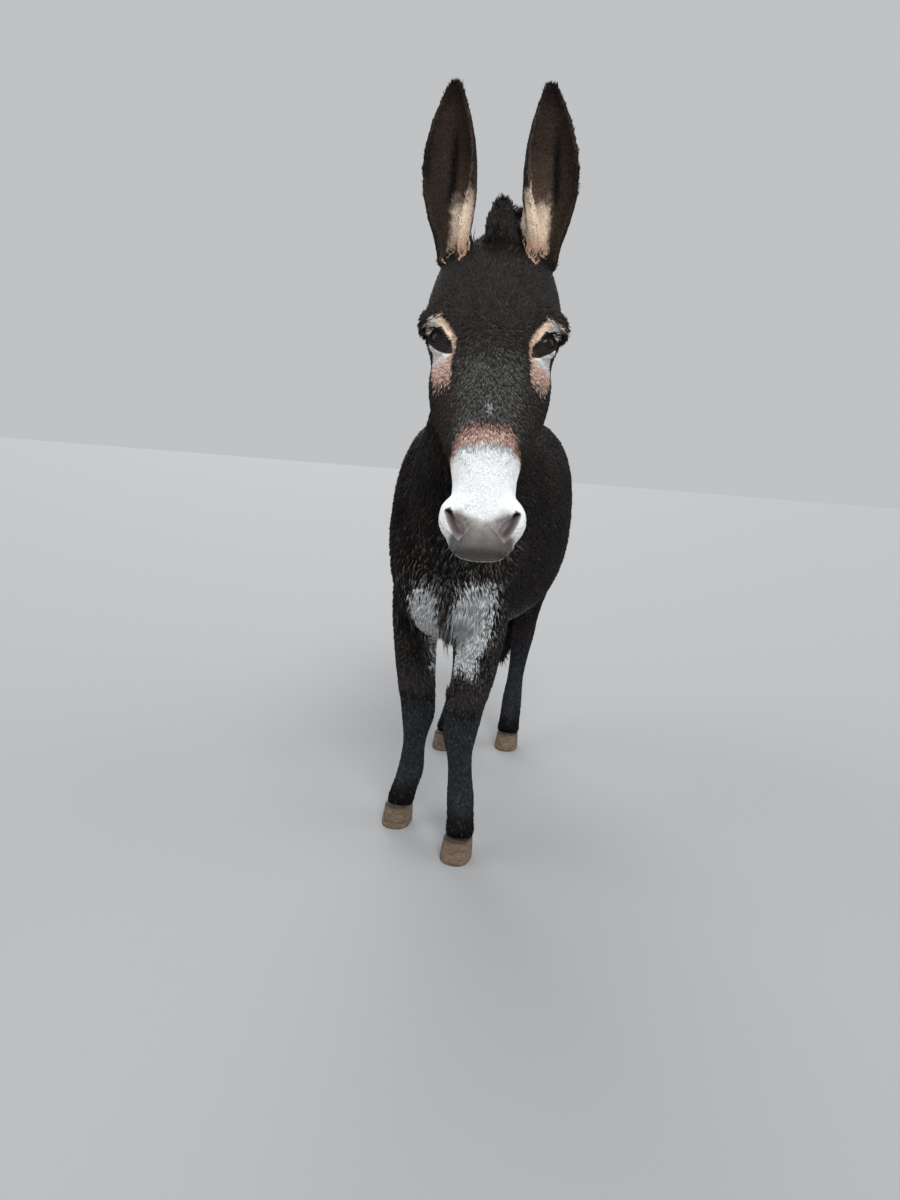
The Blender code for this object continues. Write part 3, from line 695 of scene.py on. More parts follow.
def markings(points, outwards, region):
    """The dark hair, the light hair and the share of light hair at each point."""
    down, side, inwards = head_place(points)
    wide = np.abs(side)
    x, y, z = points.T
    fuzz = noise(points, 9 * MM, 1)
    broad = noise(points, 70 * MM, 2)
    head = head_share(points)

    # Legs: slate below the elbow, a browner knee, black over the hoof.
    leg = ramp(z, 0.50, 0.36)
    knee = hill(z, 0.370 + 0.008 * fuzz, 0.030) * ramp(y, 0.05, -0.05)
    dark = mixed(SHADED_BLACK_BROWN, WARM_BROWN, 0.10 + 0.10 * broad)
    dark = mixed(dark, SLATE, 0.75 * leg)
    dark = mixed(dark, WARM_BROWN, 0.60 * hill(z, 0.42, 0.07) * leg)
    dark = mixed(dark, NEAR_BLACK, 0.7 * knee)
    dark = mixed(dark, NEAR_BLACK, 0.9 * ramp(z, 0.125 + 0.01 * fuzz, 0.085))
    light = mixed(DARK_GREY, SLATE_HAIR, leg)
    share = 0.02 + 0.25 * leg * ramp(z, 0.10, 0.16)
    share += 0.45 * hill(z, 0.50, 0.16) * ramp(y, 0.05, -0.05)

    # Chest and belly: two white locks over the forelegs, grey between and behind.
    for high_x, high_z, low_x, low_z, half, reach in CHEST_LOCKS:
        along = ramp(z, high_z, low_z)
        off = np.abs(x - high_x - (low_x - high_x) * along) / (half * (1 - 0.35 * along))
        off += 0.25 * fuzz
        back = reach * along
        front = ramp(y, back - 0.15, back - 0.22)
        patch = ramp(off, 1.75, 0.6) * ramp(z, high_z + 0.03, high_z - 0.05) * front
        patch *= ramp(z, low_z - 0.02 + 0.01 * fuzz, low_z + 0.03)
        lock = mixed(SOFT_GREY, WHITE_HAIR * 0.95, ramp(patch, 0.1, 0.6))
        light = mixed(light, lock, patch > 0)
        share = np.maximum(share, 0.97 * patch)
    chest = hill(x, 0.02, 0.22) * hill(z, 0.64, 0.26) * ramp(y, -0.08, -0.18) * (1 - head)
    light = mixed(light, SOFT_GREY, ramp(chest, 0.0, 0.5) * (share < 0.1))
    share = np.maximum(share, 0.55 * chest)
    belly = ramp(outwards[:, 2], -0.35, -0.85) * ramp(z, 0.66, 0.58) * ramp(z, 0.44, 0.50)
    light = mixed(light, SOFT_GREY * 1.3, belly * (share < 0.5))
    share = np.maximum(share, 0.62 * belly * (1 - head))

    # Face: charcoal, with grey hairs down the nose and fewer on the cheeks.
    dark = mixed(dark, FACE_DARK, head * ramp(down, 2, 14))
    nose = ramp(down, 30, 46) * ramp(wide, 15, 5) * ramp(inwards, 9, 4)
    light = mixed(light, mixed(DARK_GREY, GREY_HAIR, nose), head)
    dark = mixed(dark, DARK_GREY, 0.45 * head * nose)
    share = blended(share, 0.08 + 0.42 * nose + 0.08 * ramp(down, 40, 60), head)
    cheek = hill(wide, 12.5, 4.5) * ramp(down, 42, 50) * ramp(down, 72, 60)
    dark = mixed(dark, WARM_BROWN, 0.5 * head * cheek)
    pale = head * np.exp(-(((down - 56.4) / 1.9) ** 2 + (side / 1.1) ** 2))
    light = mixed(light, WHITE_HAIR * 0.45, ramp(pale, 0.1, 0.4))
    share = np.maximum(share, pale)

    # Muzzle: white all round, with a rusty fringe.
    round_the_side = ramp(wide, 4.0, 12.0) * 4.5 + ramp(inwards, 6, 22) * 8.0
    edge = 66.3 + round_the_side + 0.8 * fuzz + 0.8 * noise(points, 22 * MM, 3)
    fringe = 6.0 - 3.4 * ramp(wide, 7, 11) - 1.0 * ramp(inwards, 6, 14) + 0.8 * fuzz
    rusty = head * ramp(down, edge - fringe, edge - 0.05 * fringe)
    dark = mixed(dark, RUST * 0.8, ramp(rusty, 0.2, 0.9))
    rusty_light = mixed(RUST, PINK_TAN * 1.22, ramp(rusty, 0.3, 1.0))
    light = mixed(light, rusty_light, ramp(rusty, 0.0, 0.1))
    share = blended(share, 0.8, rusty)
    white = head * ramp(down, edge - 0.4, edge + 1.2)
    dark, light = (mixed(hair, WHITE_HAIR, white) for hair in (dark, light))

    # Muzzle tip: grey skin shows between the nostrils and round the lips, with painted shadow at
    # the chin.
    middle_hill = hill(side, 0, 7)
    start = 86.6 + 2.6 * middle_hill + 0.5 * fuzz
    edge = np.interp(down, (90, 94, 97), (8.6, 8.2, 11.0)) + 0.4 * fuzz
    tip_grey = head * ramp(down, start, start + 2.8) * ramp(wide, edge + 1.2, edge - 1.2)
    tip_grey *= ramp(inwards, 15, 12)
    mottled = 0.5 + 0.5 * noise(points, 18 * MM, 5)
    grey_skin_and_shadow = mixed(MUZZLE_GREY, MUZZLE_WARM, mottled * middle_hill)
    grey_skin_and_shadow = grey_skin_and_shadow * (1 + 0.22 * noise(points, 8 * MM, 10))[:, None]
    # Darker grey towards the lips; lowest, by the chin, painted shadow as if under the lips.
    grey_skin_and_shadow = mixed(grey_skin_and_shadow, LIP_GREY, 0.75 * ramp(down, 91, 96))
    grey_skin_and_shadow = mixed(grey_skin_and_shadow, LIP_GREY * 0.4, 0.8 * ramp(down, 96.5, 99))
    dark, light = (mixed(hair, grey_skin_and_shadow, tip_grey) for hair in (dark, light))

    # Pale rings round the eyes, white below them and fading down the cheeks.
    for name, sign in SIDES:
        place = eye_place(points, name, sign) / MM
        along, above, out = place.T
        aside = side * sign
        here = head * (aside > 4) * (out > -30)
        nose_edge = aside - np.interp(down, RING_DOWN, RING_NOSEWARDS)
        top_edge = down - np.interp(aside, RING_ASIDE, RING_TOP)
        within = np.minimum(nose_edge, top_edge) + 0.5 * fuzz
        outer = np.interp(down, UNDER_DOWN, UNDER_OUTWARDS) + 0.4 * fuzz
        over = ramp(above, -5, 1) * ramp(along, -28, -21)
        under = ramp(above, 1, -5) * ramp(aside, outer + 0.5, outer - 0.5)
        under_end = 2 * fuzz - 0.35 * above
        under *= ramp(along, under_end - 24, under_end - 17)
        zone = here * ramp(within, -0.4, 0.5) * np.maximum(over, under)
        fading = zone * ramp(down, 51 + fuzz, 43)
        edge = ramp(nose_edge, 2.6, 0.6) * ramp(aside, 18, 13)
        low = ramp(down, 40.0 + 0.6 * fuzz, 42.6)
        dark = mixed(dark, PINK_TAN * 0.95, fading * ramp(down, 50, 45))
        light = mixed(light, PINK_TAN * 1.2, ramp(fading, 0.0, 0.1))
        share = blended(share, 0.85, fading)
        white = zone * (1 - low) * (1 - edge)
        creamy = mixed(WHITE_HAIR, CREAM, ramp(above, -3, 5) * ramp(along, -18, -8))
        dark, light = mixed(dark, CREAM, white), mixed(light, creamy, white)
        warm = zone * (1 - low) * edge
        dark = mixed(dark, PEACH, warm)
        light = mixed(light, mixed(CREAM, PEACH, ramp(within, 1.6, 0.2)), warm)
        lid = here * ramp(dark_gap(place * MM) / MM + 0.8 * fuzz, -0.8, 0.8)
        margin = mixed(LID_BLACK, LID_BROWN, ramp(above, 2, -4) * ramp(along, -2, 8))
        dark, light = (mixed(hair, margin, lid) for hair in (dark, light))

    poll = is_in(region, "mane", "neck") * ramp(y, -0.52, -0.60) * ramp(inwards, -4, 6)
    dark = mixed(dark, FACE_DARK, 0.8 * poll)

    # Ears: dark backs and rims, a brown-grey hollow, painted shade in its cleft and a cream lock
    # by the midline.
    for name, sign in SIDES:
        here = is_in(region, f"ear_{name}")
        up, across, _ = ear_place(points, name)
        hollow = in_ear(points, outwards, name) * here
        tip = ramp(up, 0.80, 0.94)
        cleft = hill(across * sign, 0.05, 0.26) * ramp(up, 0.30, 0.42) * ramp(up, 0.85, 0.6)
        rim = ramp(np.abs(across), 0.70, 0.92)
        rim *= 1 - ramp(across * sign, 0.0, -0.3) * ramp(up, 0.55, 0.4)
        dark = mixed(dark, EAR_BACK, here * (1 - hollow))
        dark = mixed(dark, EAR_LINING, hollow * (1 - tip) * (1 - rim))
        medial = ramp(across * sign + 0.06 * fuzz, 0.10, -0.20)
        facing = np.maximum(hollow, here * ramp(outwards @ -INWARDS, 0.05, 0.35))
        lock = facing * medial * ramp(up + 0.04 * fuzz, 0.42, 0.27)
        pale = hollow * medial * ramp(up + 0.05 * fuzz, 0.68, 0.42)
        dark = mixed(dark, EAR_LINING * 2.2, pale)
        # Painted shade: the cleft deep in the ear's hollow darkened nearly black.
        dark = mixed(dark, NEAR_BLACK, hollow * cleft * (1 - lock))
        dark = mixed(dark, CREAM, lock)
        edge = 0.8 * here * ramp(across * sign, -0.86, -0.97) * ramp(up, 0.05, 0.15)
        dark = mixed(dark, EAR_LINING * 1.6, edge)
        warm = np.maximum(ramp(up, 0.20, 0.06), 0.6 * ramp(across * sign, -0.7, -1.0))
        dark = mixed(dark, PEACH, lock * warm)
        light = mixed(light, dark, here)
        share = np.where(here, 0.1, share)
    return dark, light, np.clip(share, 0, 1)


def skin_colours(points, outwards, region):
    """The markings blended, as the eye blends single hairs, with the bare parts over them and
    painted shade in the mouth and nostrils.
    """
    dark, light, share = markings(points, outwards, region)
    colours = mixed(dark, light, share * (0.4 + 0.6 * ramp(share, 0.5, 0.8)))
    down = head_place(points)[0]
    head = head_share(points)
    gap = mouth_gap(points)
    lip = head * ramp(down, 95.5, 98) * ramp(gap, 3.2, 1.2) * ramp(gap, -3.2, -1.6)
    colours = mixed(colours, LIP_GREY, lip)
    # Painted shade: the slit of the mouth darkened nearly black.
    slit = head * ramp(down, MOUTH_CORNER, MOUTH_CORNER + 3) * ramp(np.abs(gap), 0.7, 0.2)
    colours = mixed(colours, HOLLOW_SHADE, slit)
    for _, sign in SIDES:
        near = in_muzzle(points, sign)
        along, across, part = nostril_place(points, sign)
        ends = near * ramp(along, -0.04, 0.04) * ramp(along, 1.10, 0.96)
        beyond = ramp(across, -2 * MM, 1 * MM)
        hole = ends * beyond * ramp(part, 1.02, 0.88)
        # Painted shade in each nostril: brownish along the crease by its straight edge, nearly
        # black in the notch at its top.
        crease_shade = ends * hill(across, 2.5 * MM, 6.0 * MM) * ramp(along, 1.0, 0.7)
        notch = near * hill(along, 0.03, 0.10) * beyond * ramp(across, 12 * MM, 8 * MM)
        colours = mixed(colours, NOSTRIL_MAUVE, hole)
        colours = mixed(colours, NOSTRIL_DEEP_SHADE, crease_shade)
        colours = mixed(colours, HOLLOW_SHADE, notch)
    return colours


# ---------------- the lie of the coat

WHORL = 33.5  # how far down the forehead the hair parts


def brow_share(down, side):
    """1 where the hair of the forehead overhangs the eyes."""
    wide = np.abs(side)
    under_edge = down - np.interp(wide, RING_ASIDE, RING_TOP)
    return ramp(under_edge, -5.0, -1.5) * ramp(under_edge, 0.8, 0.2) * ramp(wide, 9, 13)


def lie_of(points, outwards, region):
    """The way the hair lies at each point, along the surface."""
    down, side, inwards = head_place(points)
    x, y, z = points.T
    flow = np.tile(np.array((0.0, 1.0, -0.42)), (len(points), 1))
    flow[:, 0] += 0.35 * np.sign(x) * ramp(outwards[:, 2], 0.4, 1.0)
    chest = ramp(outwards[:, 1], -0.2, -0.7) * ramp(y, -0.05, -0.18)
    ways = (
        ((0.0, 0.35, -1.0), ramp(y, 0.45, 0.70)),  # on the rump
        ((0.0, 0.1, -1.0), chest),  # on the chest
        ((0.0, 1.0, -0.1), ramp(outwards[:, 2], -0.5, -0.9) * (1 - chest)),  # on the belly
        ((-0.25, 0.50, -0.85), ramp(y, -0.16, -0.30)),  # on the neck
        ((0.0, 0.12, -1.0), ramp(z, 0.56, 0.42)),  # on the legs
    )
    for way, share in ways:
        flow = mixed(flow, np.array(way), share)
    flow = np.where(is_in(region, "tail", "switch")[:, None], np.array((0.0, 0.1, -1.0)), flow)

    turn = ramp(down, WHORL - 4.5, WHORL + 4.5) * 2 - 1
    cheek = ramp(inwards, 8, 18)
    to_side = np.clip(side / 9, -1, 1) * (0.75 - 0.5 * ramp(down, 60, 75)) * (1 - cheek)
    on_face = DOWN * (turn * (1 - 0.45 * cheek))[:, None] + LEFT * to_side[:, None]
    on_face = on_face + INWARDS * (0.9 * cheek * ramp(down, 92, 70))[:, None]
    on_face = mixed(on_face, DOWN * 0.5 + INWARDS, cheek * ramp(down, 30, 10))
    over_eye = LEFT * np.sign(side)[:, None] + DOWN * 0.7
    on_face = mixed(on_face, over_eye, brow_share(down, side))
    poll = ramp(down, 7, 1) * ramp(np.abs(side), 12, 8)
    on_face = mixed(on_face, UP * 1.4 + INWARDS * 0.2, poll)
    flow = mixed(flow, on_face, head_share(points))
    for name, sign in SIDES:
        here = is_in(region, f"ear_{name}")
        hollow = in_ear(points, outwards, name) * here
        flow = np.where(here[:, None], UP, flow)
        flow[:, 0] += 0.55 * sign * hollow * ramp(ear_place(points, name)[0], 0.7, 0.4)
    flow = np.where(is_in(region, "mane")[:, None], UP + 0.25 * outwards, flow)
    flow = flow - outwards * np.sum(flow * outwards, axis=1)[:, None]
    flow += 1e-4 * np.array((0.3, 0.5, -0.8))  # so that no place is without a way
    return unit(flow)


# ---------------- materials


def values_set(node, values):
    """Sets inputs of a node by their names."""
    for name, value in values.items():
        node.inputs[name].default_value = value


def painted(name, roughness, grain, specular=0.3, sheen=0.0, coat=0.0, grain_size=1.2, bump=0.0):
    """A finish that takes its colour from the tint at each corner, with fine grain in it."""
    material = bpy.data.materials.new(name)
    material.use_nodes = True
    nodes, links = material.node_tree.nodes, material.node_tree.links
    surface = nodes["Principled BSDF"]
    values_set(surface, {
        "Roughness": roughness, "Specular IOR Level": specular, "Sheen Weight": sheen,
        "Sheen Roughness": 0.5, "Coat Weight": coat, "Coat Roughness": 0.03,
    })
    tint = nodes.new("ShaderNodeAttribute")
    tint.attribute_name = "tint"
    place = nodes.new("ShaderNodeTexCoord")
    speckle = nodes.new("ShaderNodeTexNoise")
    values_set(speckle, {"Scale": 1 / (grain_size * MM), "Detail": 3.0})
    links.new(place.outputs["Object"], speckle.inputs["Vector"])
    level = nodes.new("ShaderNodeMapRange")
    low, high = 1 - 0.35 * grain, 1 + 0.35 * grain
    values_set(level, {"From Min": 0.25, "From Max": 0.75, "To Min": low, "To Max": high})
    links.new(speckle.outputs["Fac"], level.inputs["Value"])
    shade = nodes.new("ShaderNodeVectorMath")
    shade.operation = "SCALE"
    links.new(tint.outputs["Color"], shade.inputs[0])
    links.new(level.outputs["Result"], shade.inputs["Scale"])
    links.new(shade.outputs["Vector"], surface.inputs["Base Color"])
    if bump:
        relief = nodes.new("ShaderNodeBump")
        values_set(relief, {"Strength": 1.0, "Distance": bump * MM})
        links.new(speckle.outputs["Fac"], relief.inputs["Height"])
        links.new(relief.outputs["Normal"], surface.inputs["Normal"])
    return material


SKIN_FINISH = painted("skin", 0.62, 0.8, specular=0.18, sheen=0.03, grain_size=1.6, bump=0.8)
COAT_FINISH = painted("coat", 0.70, 0.4, specular=0.07, sheen=0.01, grain_size=1.5)
EYE_FINISH = painted("eye", 0.3, 0.1, specular=0.05, coat=0.35)
HOOF_FINISH = painted("hoof", 0.55, 0.6, specular=0.35, grain_size=3.0, bump=1.0)

tinted(skin.data, skin_colours(*surface_of(skin.data), skin_region))
skin.data.materials.append(SKIN_FINISH)

# ---------------- the coat's tufts

TUFT_BUDGET = 366000
TUFTS_IN_PIECE = 48000
PATCH = 0.003  # how large a tuft's own patch of the OFBake map is
ROOT_DEPTH = 1.5 * MM
BELLY_AT = 0.40  # where along a tuft it is widest
LIFT_LOW, LIFT_HIGH = math.radians(34.0), math.radians(7.0)
LIFT_MUZZLE = math.radians(-5.5)
CLUMP, CLUMP_ROWS = 12 * MM, 4001  # size of a clump, and more rows of them than there are
FACE_TUFTS = EAR_TUFTS = 400000  # to a square metre
# Brightness of a tuft's corners from root to tip: the darker root and sides are painted shade, as
# deep in the coat; the lighter tip on dark hair is the hair's own colour.
ROOT_SHADE_TIP_TONE_DARK = np.array((0.6, 0.9, 0.9, 1.15))  # from root to tip, on dark hair and on white
ROOT_SHADE_TIP_TONE_PALE = np.array((0.92, 1.0, 1.0, 1.0))
# Lashes: the lid, up or down, how many they are, and the longest in millimetres.
LASHES = ((1, 46, 15), (-1, 20, 7))
WHISKERS = 26
HAIR_HALF_WIDTH = 0.17 * MM
UV_SLOTS = 12  # stations along a region's middle line
UV_SAMPLE = 4000  # about how many roots that line is drawn from


def bare_share(points):
    """1 where no hair grows: on the rims of the lids, in the nostrils and on the lips."""
    bare = np.zeros(len(points))
    head = head_share(points)
    for name, sign in SIDES:
        place = eye_place(points, name, sign)
        near = (np.hypot(place[:, 0], place[:, 1]) < 40 * MM) & (place[:, 2] > LID_BACK)
        along, across, part = nostril_place(points, sign)
        hole = (along > -0.25) & (along < 1.1) & (across > -2 * MM) & (part < 1.05)
        notch = (np.abs(along + 0.05) < 0.35) & (np.abs(across - 4 * MM) < 11 * MM)
        bare = np.maximum(bare, near & (dark_gap(place) > -0.5 * MM))
        bare = np.maximum(bare, in_muzzle(points, sign) & (hole | notch))
    down, side, _ = head_place(points)
    gap = mouth_gap(points)
    lips = (down > MOUTH_CORNER) & (gap < 1.2) & (gap > -1.0)
    between = (down > 91.5) & (np.abs(side) < 5.5 + 0.8 * noise(points, 6 * MM, 9)) & (gap > 0)
    return np.maximum(bare, head * (lips | between))


# Tufts to a square metre, length and width of the hair that hangs or stands free.
LOCKS = {"mane": (190000, 25, 1.6), "tail": (90000, 24, 2.3), "switch": (130000, 85, 2.1)}


def coat_of(points, outwards, region):
    """Tufts to a square metre, and their length and width."""
    down, side, inwards = head_place(points)
    x, y, z = points.T
    head = head_share(points)
    leg = ramp(z, 0.60, 0.47)
    chest = hill(x, 0.02, 0.20) * hill(z, 0.62, 0.22) * ramp(y, -0.10, -0.20)
    neck = is_in(region, "neck", "mane")
    density = 84000 + 15000 * neck + 110000 * chest + 50000 * leg
    length = (27 + 12 * chest - 13 * leg) * MM
    width = (2.6 - 0.7 * leg - 0.9 * chest) * MM
    length = length * (1 - 0.35 * hill(z, 0.22, 0.16)) + 5 * MM * ramp(z, 0.095, 0.075)

    face_length = 12 - 2.5 * ramp(down, 20, 45) - 4.5 * ramp(down, 66, 80)
    face_length += 7 * ramp(inwards, 12, 24)
    face_length += 5 * ramp(down, 16, 6)
    face_length += 20 * ramp(down, 7, 1) * ramp(np.abs(side), 10, 7.5)
    face_length += 4 * hill(down, 65, 7) * ramp(inwards, 12, 6)
    muzzle = fine = ramp(down, 76, 88)
    for name, sign in SIDES:
        place = eye_place(points, name, sign) / MM
        close = ramp(np.hypot(place[:, 0], place[:, 1] + 4), 44, 30) * (place[:, 2] > -16)
        face_length = blended(face_length, 5.0, close)
        fine = np.maximum(fine, close)
    brow = brow_share(down, side) * ramp(inwards, 16, 12)
    face_length = blended(face_length, 13 + 5 * ramp(np.abs(side), 17, 21), brow)
    face_density = FACE_TUFTS - 120000 * muzzle + 80000 * (fine - muzzle)
    density = blended(density, face_density, head)
    length = blended(length, face_length * MM, head)
    width = blended(width, (1.45 - 0.40 * fine) * MM, head)

    for name, _ in SIDES:
        here = is_in(region, f"ear_{name}")
        up = ear_place(points, name)[0]
        hollow = in_ear(points, outwards, name)
        lock = hollow * ramp(up, 0.50, 0.36)
        own = 6.5 + 1.5 * hollow + 3 * lock * ramp(up, 0.05, 0.15) + 2 * ramp(up, 0.85, 0.97)
        length = np.where(here, own * MM, length)
        density = np.where(here, EAR_TUFTS, density)
        width = np.where(here, 1.15 * MM, width)
    for name, (count, long, wide) in LOCKS.items():
        here = is_in(region, name)
        density = np.where(here, count, density)
        length = np.where(here, long * (1 - 0.40 * ramp(y, -0.50, -0.62)) * MM, length)
        width = np.where(here, wide * MM, width)
    return density * (1 - bare_share(points)), length, width


def scattered(mesh, density, rng, budget):
    """Random roots on a mesh: their triangles and their places in them."""
    corners, faces = corners_of(mesh), read(mesh.polygons, "vertices", kind=np.int32)
    a, b, c = (corners[faces[:, i]] for i in range(3))
    area = np.linalg.norm(np.cross(b - a, c - a), axis=1) / 2
    wanted = area * density[faces].mean(axis=1)
    wanted *= min(1.0, budget / wanted.sum())
    count = rng.poisson(wanted)
    face = np.repeat(np.arange(len(faces)), count)
    u, v = rng.random((2, len(face)))
    over = u + v > 1
    u[over], v[over] = 1 - u[over], 1 - v[over]
    return faces[face], np.stack((1 - u - v, u, v), axis=1)


def at_roots(faces, shares, values):
    """The values at the roots, from those at the corners of their triangles."""
    return np.einsum("ij,ijk->ik", shares, values[faces])


def leaning(v, towards, angle):
    """Each vector of v leaned by an angle towards another, square to it."""
    return v * np.cos(angle)[:, None] + towards * np.sin(angle)[:, None]


def four_corners(root, out, belly, across, tip):
    """The corners of tufts: the root under the skin, both sides of the belly and the tip."""
    return np.stack((root - out * ROOT_DEPTH, belly - across, belly + across, tip), axis=1)


def clumped(roots, tips, size, pull):
    """The tips drawn towards the middle of their clumps."""
    wander = np.stack([noise(roots / size[:, None], 1.3, seed) for seed in (5, 6, 7)], axis=1)
    cell = np.floor(roots / size[:, None] + 0.9 * wander).astype(np.int64)
    key = (cell[:, 0] * CLUMP_ROWS + cell[:, 1]) * CLUMP_ROWS + cell[:, 2]
    _, clump = np.unique(key, return_inverse=True)
    counts = np.bincount(clump)
    centres = np.stack([np.bincount(clump, tips[:, i]) / counts for i in range(3)], axis=1)
    return tips + (centres[clump] - tips) * pull[:, None], clump


def lashes_and_whiskers(rng):
    """Single hairs: lashes along both lids, whiskers on the lips and the chin. What they
    return is as in grown."""
    rows = []  # root, way, length, colour and outwards
    for name, sign in SIDES:
        axes = eye_axes(sign)
        for edge, count, longest in LASHES:
            along = np.linspace(-0.92, 0.80, count) * LID_HALF_LENGTH
            along += rng.normal(0, 0.3 * MM, count)
            across = (LID_RISE if edge > 0 else -LID_FALL) * slit_arch(along / LID_HALF_LENGTH)
            across += edge * 1.2 * MM
            shell = EYE_RADIUS + LID_THICKNESS - 0.6 * MM
            out = np.sqrt(np.clip(shell**2 - along**2 - across**2, 0, None))
            place = np.stack((along, across, out), axis=1)
            rise, ahead = np.full(count, 0.10 * edge - 0.12), np.full(count, 1.0)
            way = np.stack((along * 14 - 0.15, rise, ahead), axis=1)
            way += rng.normal(0, 0.10, (count, 3))
            length = longest * MM * rng.uniform(0.7, 1.1, count)
            black, forwards = (np.tile(row, (count, 1)) for row in (LID_BLACK, axes[2]))
            rows.append((place @ axes + EYES[name], unit(way) @ axes, length, black, forwards))
    corners, normals = surface_of(skin.data)
    down, side, inwards = head_place(corners)
    lips = (head_share(corners) > 0.5) & (down > 90) & (np.abs(side) > 3) & (inwards > 8)
    lips &= np.abs(mouth_gap(corners)) > 1.2
    chosen = rng.choice(np.flatnonzero(lips), WHISKERS, replace=False)
    way = unit(normals[chosen] + rng.normal(0, 0.25, (WHISKERS, 3)) - 0.25 * UP)
    length = rng.uniform(10, 26, WHISKERS) * MM
    colour = np.where(rng.random((WHISKERS, 1)) < 0.4, SOFT_GREY * 1.5, DARK_GREY)
    rows.append((corners[chosen], way, length, colour, normals[chosen]))

    root, way, length, colour, out = (np.concatenate(column) for column in zip(*rows))
    length = length[:, None]
    across = unit(np.cross(way, out) + 0.01 * DOWN) * HAIR_HALF_WIDTH
    belly = root + way * length * 0.35 + out * 0.3 * MM
    tip = root + way * length - UP * length * 0.12
    region = np.full(len(root), REGIONS.index("head"))
    colours = np.repeat(colour[:, None, :], 4, axis=1)
    return four_corners(root, out, belly, across, tip), colours, region, root, out


def grown(rng):
    """All the tufts: their corners, the corners' colours, their regions, their roots and the
    way outwards there."""
    corners, normals = surface_of(skin.data)
    density, _, _ = coat_of(corners, normals, skin_region)
    faces, shares = scattered(skin.data, density, rng, TUFT_BUDGET)
    region = skin_region[faces[np.arange(len(faces)), shares.argmax(axis=1)]]
    root = at_roots(faces, shares, corners)
    out = unit(at_roots(faces, shares, normals))
    n = len(root)
    _, length, width = coat_of(root, out, region)
    lie = lie_of(root, out, region)
    down, side, _ = head_place(root)
    head, ear = head_share(root), is_in(region, *EARS)
    whorl = head * np.exp(-(((down - WHORL) / 3.5) ** 2 + (side / 3.5) ** 2))
    swirl = 0.35 * noise(root, 60 * MM, 8) + rng.normal(0, 1, n) * (0.22 + 1.1 * whorl)
    lie = leaning(lie, np.cross(out, lie), swirl)
    length = length * rng.uniform(0.72, 1.2, n)
    sleek = 1 - head * (1 - brow_share(down, side)) * (0.30 + 0.58 * ramp(down, 65, 69))
    sleek *= 1 - 0.35 * ramp(root[:, 2], 0.40, 0.30)
    sleek *= 1 - 0.45 * ear
    low = LIFT_LOW * sleek * rng.uniform(0.75, 1.2, n)
    high = LIFT_HIGH * rng.uniform(-0.4, 2.0, n)
    high = blended(high, LIFT_MUZZLE, 0.9 * head * ramp(down, 66, 70))
    belly = root + BELLY_AT * length[:, None] * leaning(lie, out, low)
    tip = belly + ((1 - BELLY_AT) * length)[:, None] * leaning(lie, out, high)
    small = np.maximum(head, ear)
    leg = ramp(root[:, 2], 0.56, 0.42)
    size = CLUMP * (1 - 0.35 * leg - 0.5 * small)
    tip, clump = clumped(root, tip, size, 0.40 - 0.15 * leg - 0.20 * small)
    half = (width * rng.uniform(0.75, 1.2, n) / 2)[:, None]
    tufts = four_corners(root, out, belly, np.cross(lie, out) * half, tip)

    single_hairs = lashes_and_whiskers(rng)
    dark, light, share = markings(root, out, region)
    pale = rng.random(n) < share
    colour = np.where(pale[:, None], light, dark)
    bright = ramp(colour.mean(axis=1), 0.15, 0.6)
    spread = 0.16 - 0.12 * bright
    vary = rng.normal(0, 1, n) * spread
    vary += rng.normal(0, 0.5, clump.max() + 1)[clump] * spread
    colour = colour * np.exp(vary)[:, None]
    # Painted shade at the roots of the tufts, and lighter tips on dark hair.
    root_shade_tip_tone = mixed(ROOT_SHADE_TIP_TONE_DARK, ROOT_SHADE_TIP_TONE_PALE, bright)
    colours = np.clip(colour[:, None, :] * root_shade_tip_tone[:, :, None], 0, 1)
    hairs = (tufts, colours, region, root, out)
    return [np.concatenate(pair) for pair in zip(hairs, single_hairs)]


def unwrapped(roots, outs, region_name):
    """A place from 0 to 1 each way for each root, unrolled about the region's middle line."""
    if region_name.startswith("ear"):
        side = region_name.split("_")[1]
        up, across, _ = ear_place(roots, side)
        layer = in_ear(roots, outs, side) > 0.5
        u = np.clip((across + 1) / 2, 0, 1)
        return u, (np.clip(up, 0, 1) + layer) / 2
    centre = roots.mean(axis=0)
    sample = (roots - centre)[:: max(1, len(roots) // UV_SAMPLE)]
    _, _, axes = np.linalg.svd(sample, full_matrices=False)
    along = (roots - centre) @ axes[0]
    share = (along - along.min()) / max(np.ptp(along), 1e-9)
    stations = np.linspace(0, 1, UV_SLOTS + 1)
    slot = np.clip((share * UV_SLOTS).astype(int), 0, UV_SLOTS - 1)
    counts = np.maximum(np.bincount(slot, minlength=UV_SLOTS), 1)
    off = []
    for axis in axes[1:]:
        across = (roots - centre) @ axis
        means = np.bincount(slot, across, minlength=UV_SLOTS) / counts
        off.append(across - np.interp(share, (stations[1:] + stations[:-1]) / 2, means))
    return np.arctan2(off[0], off[1]) / (2 * np.pi) + 0.5, share


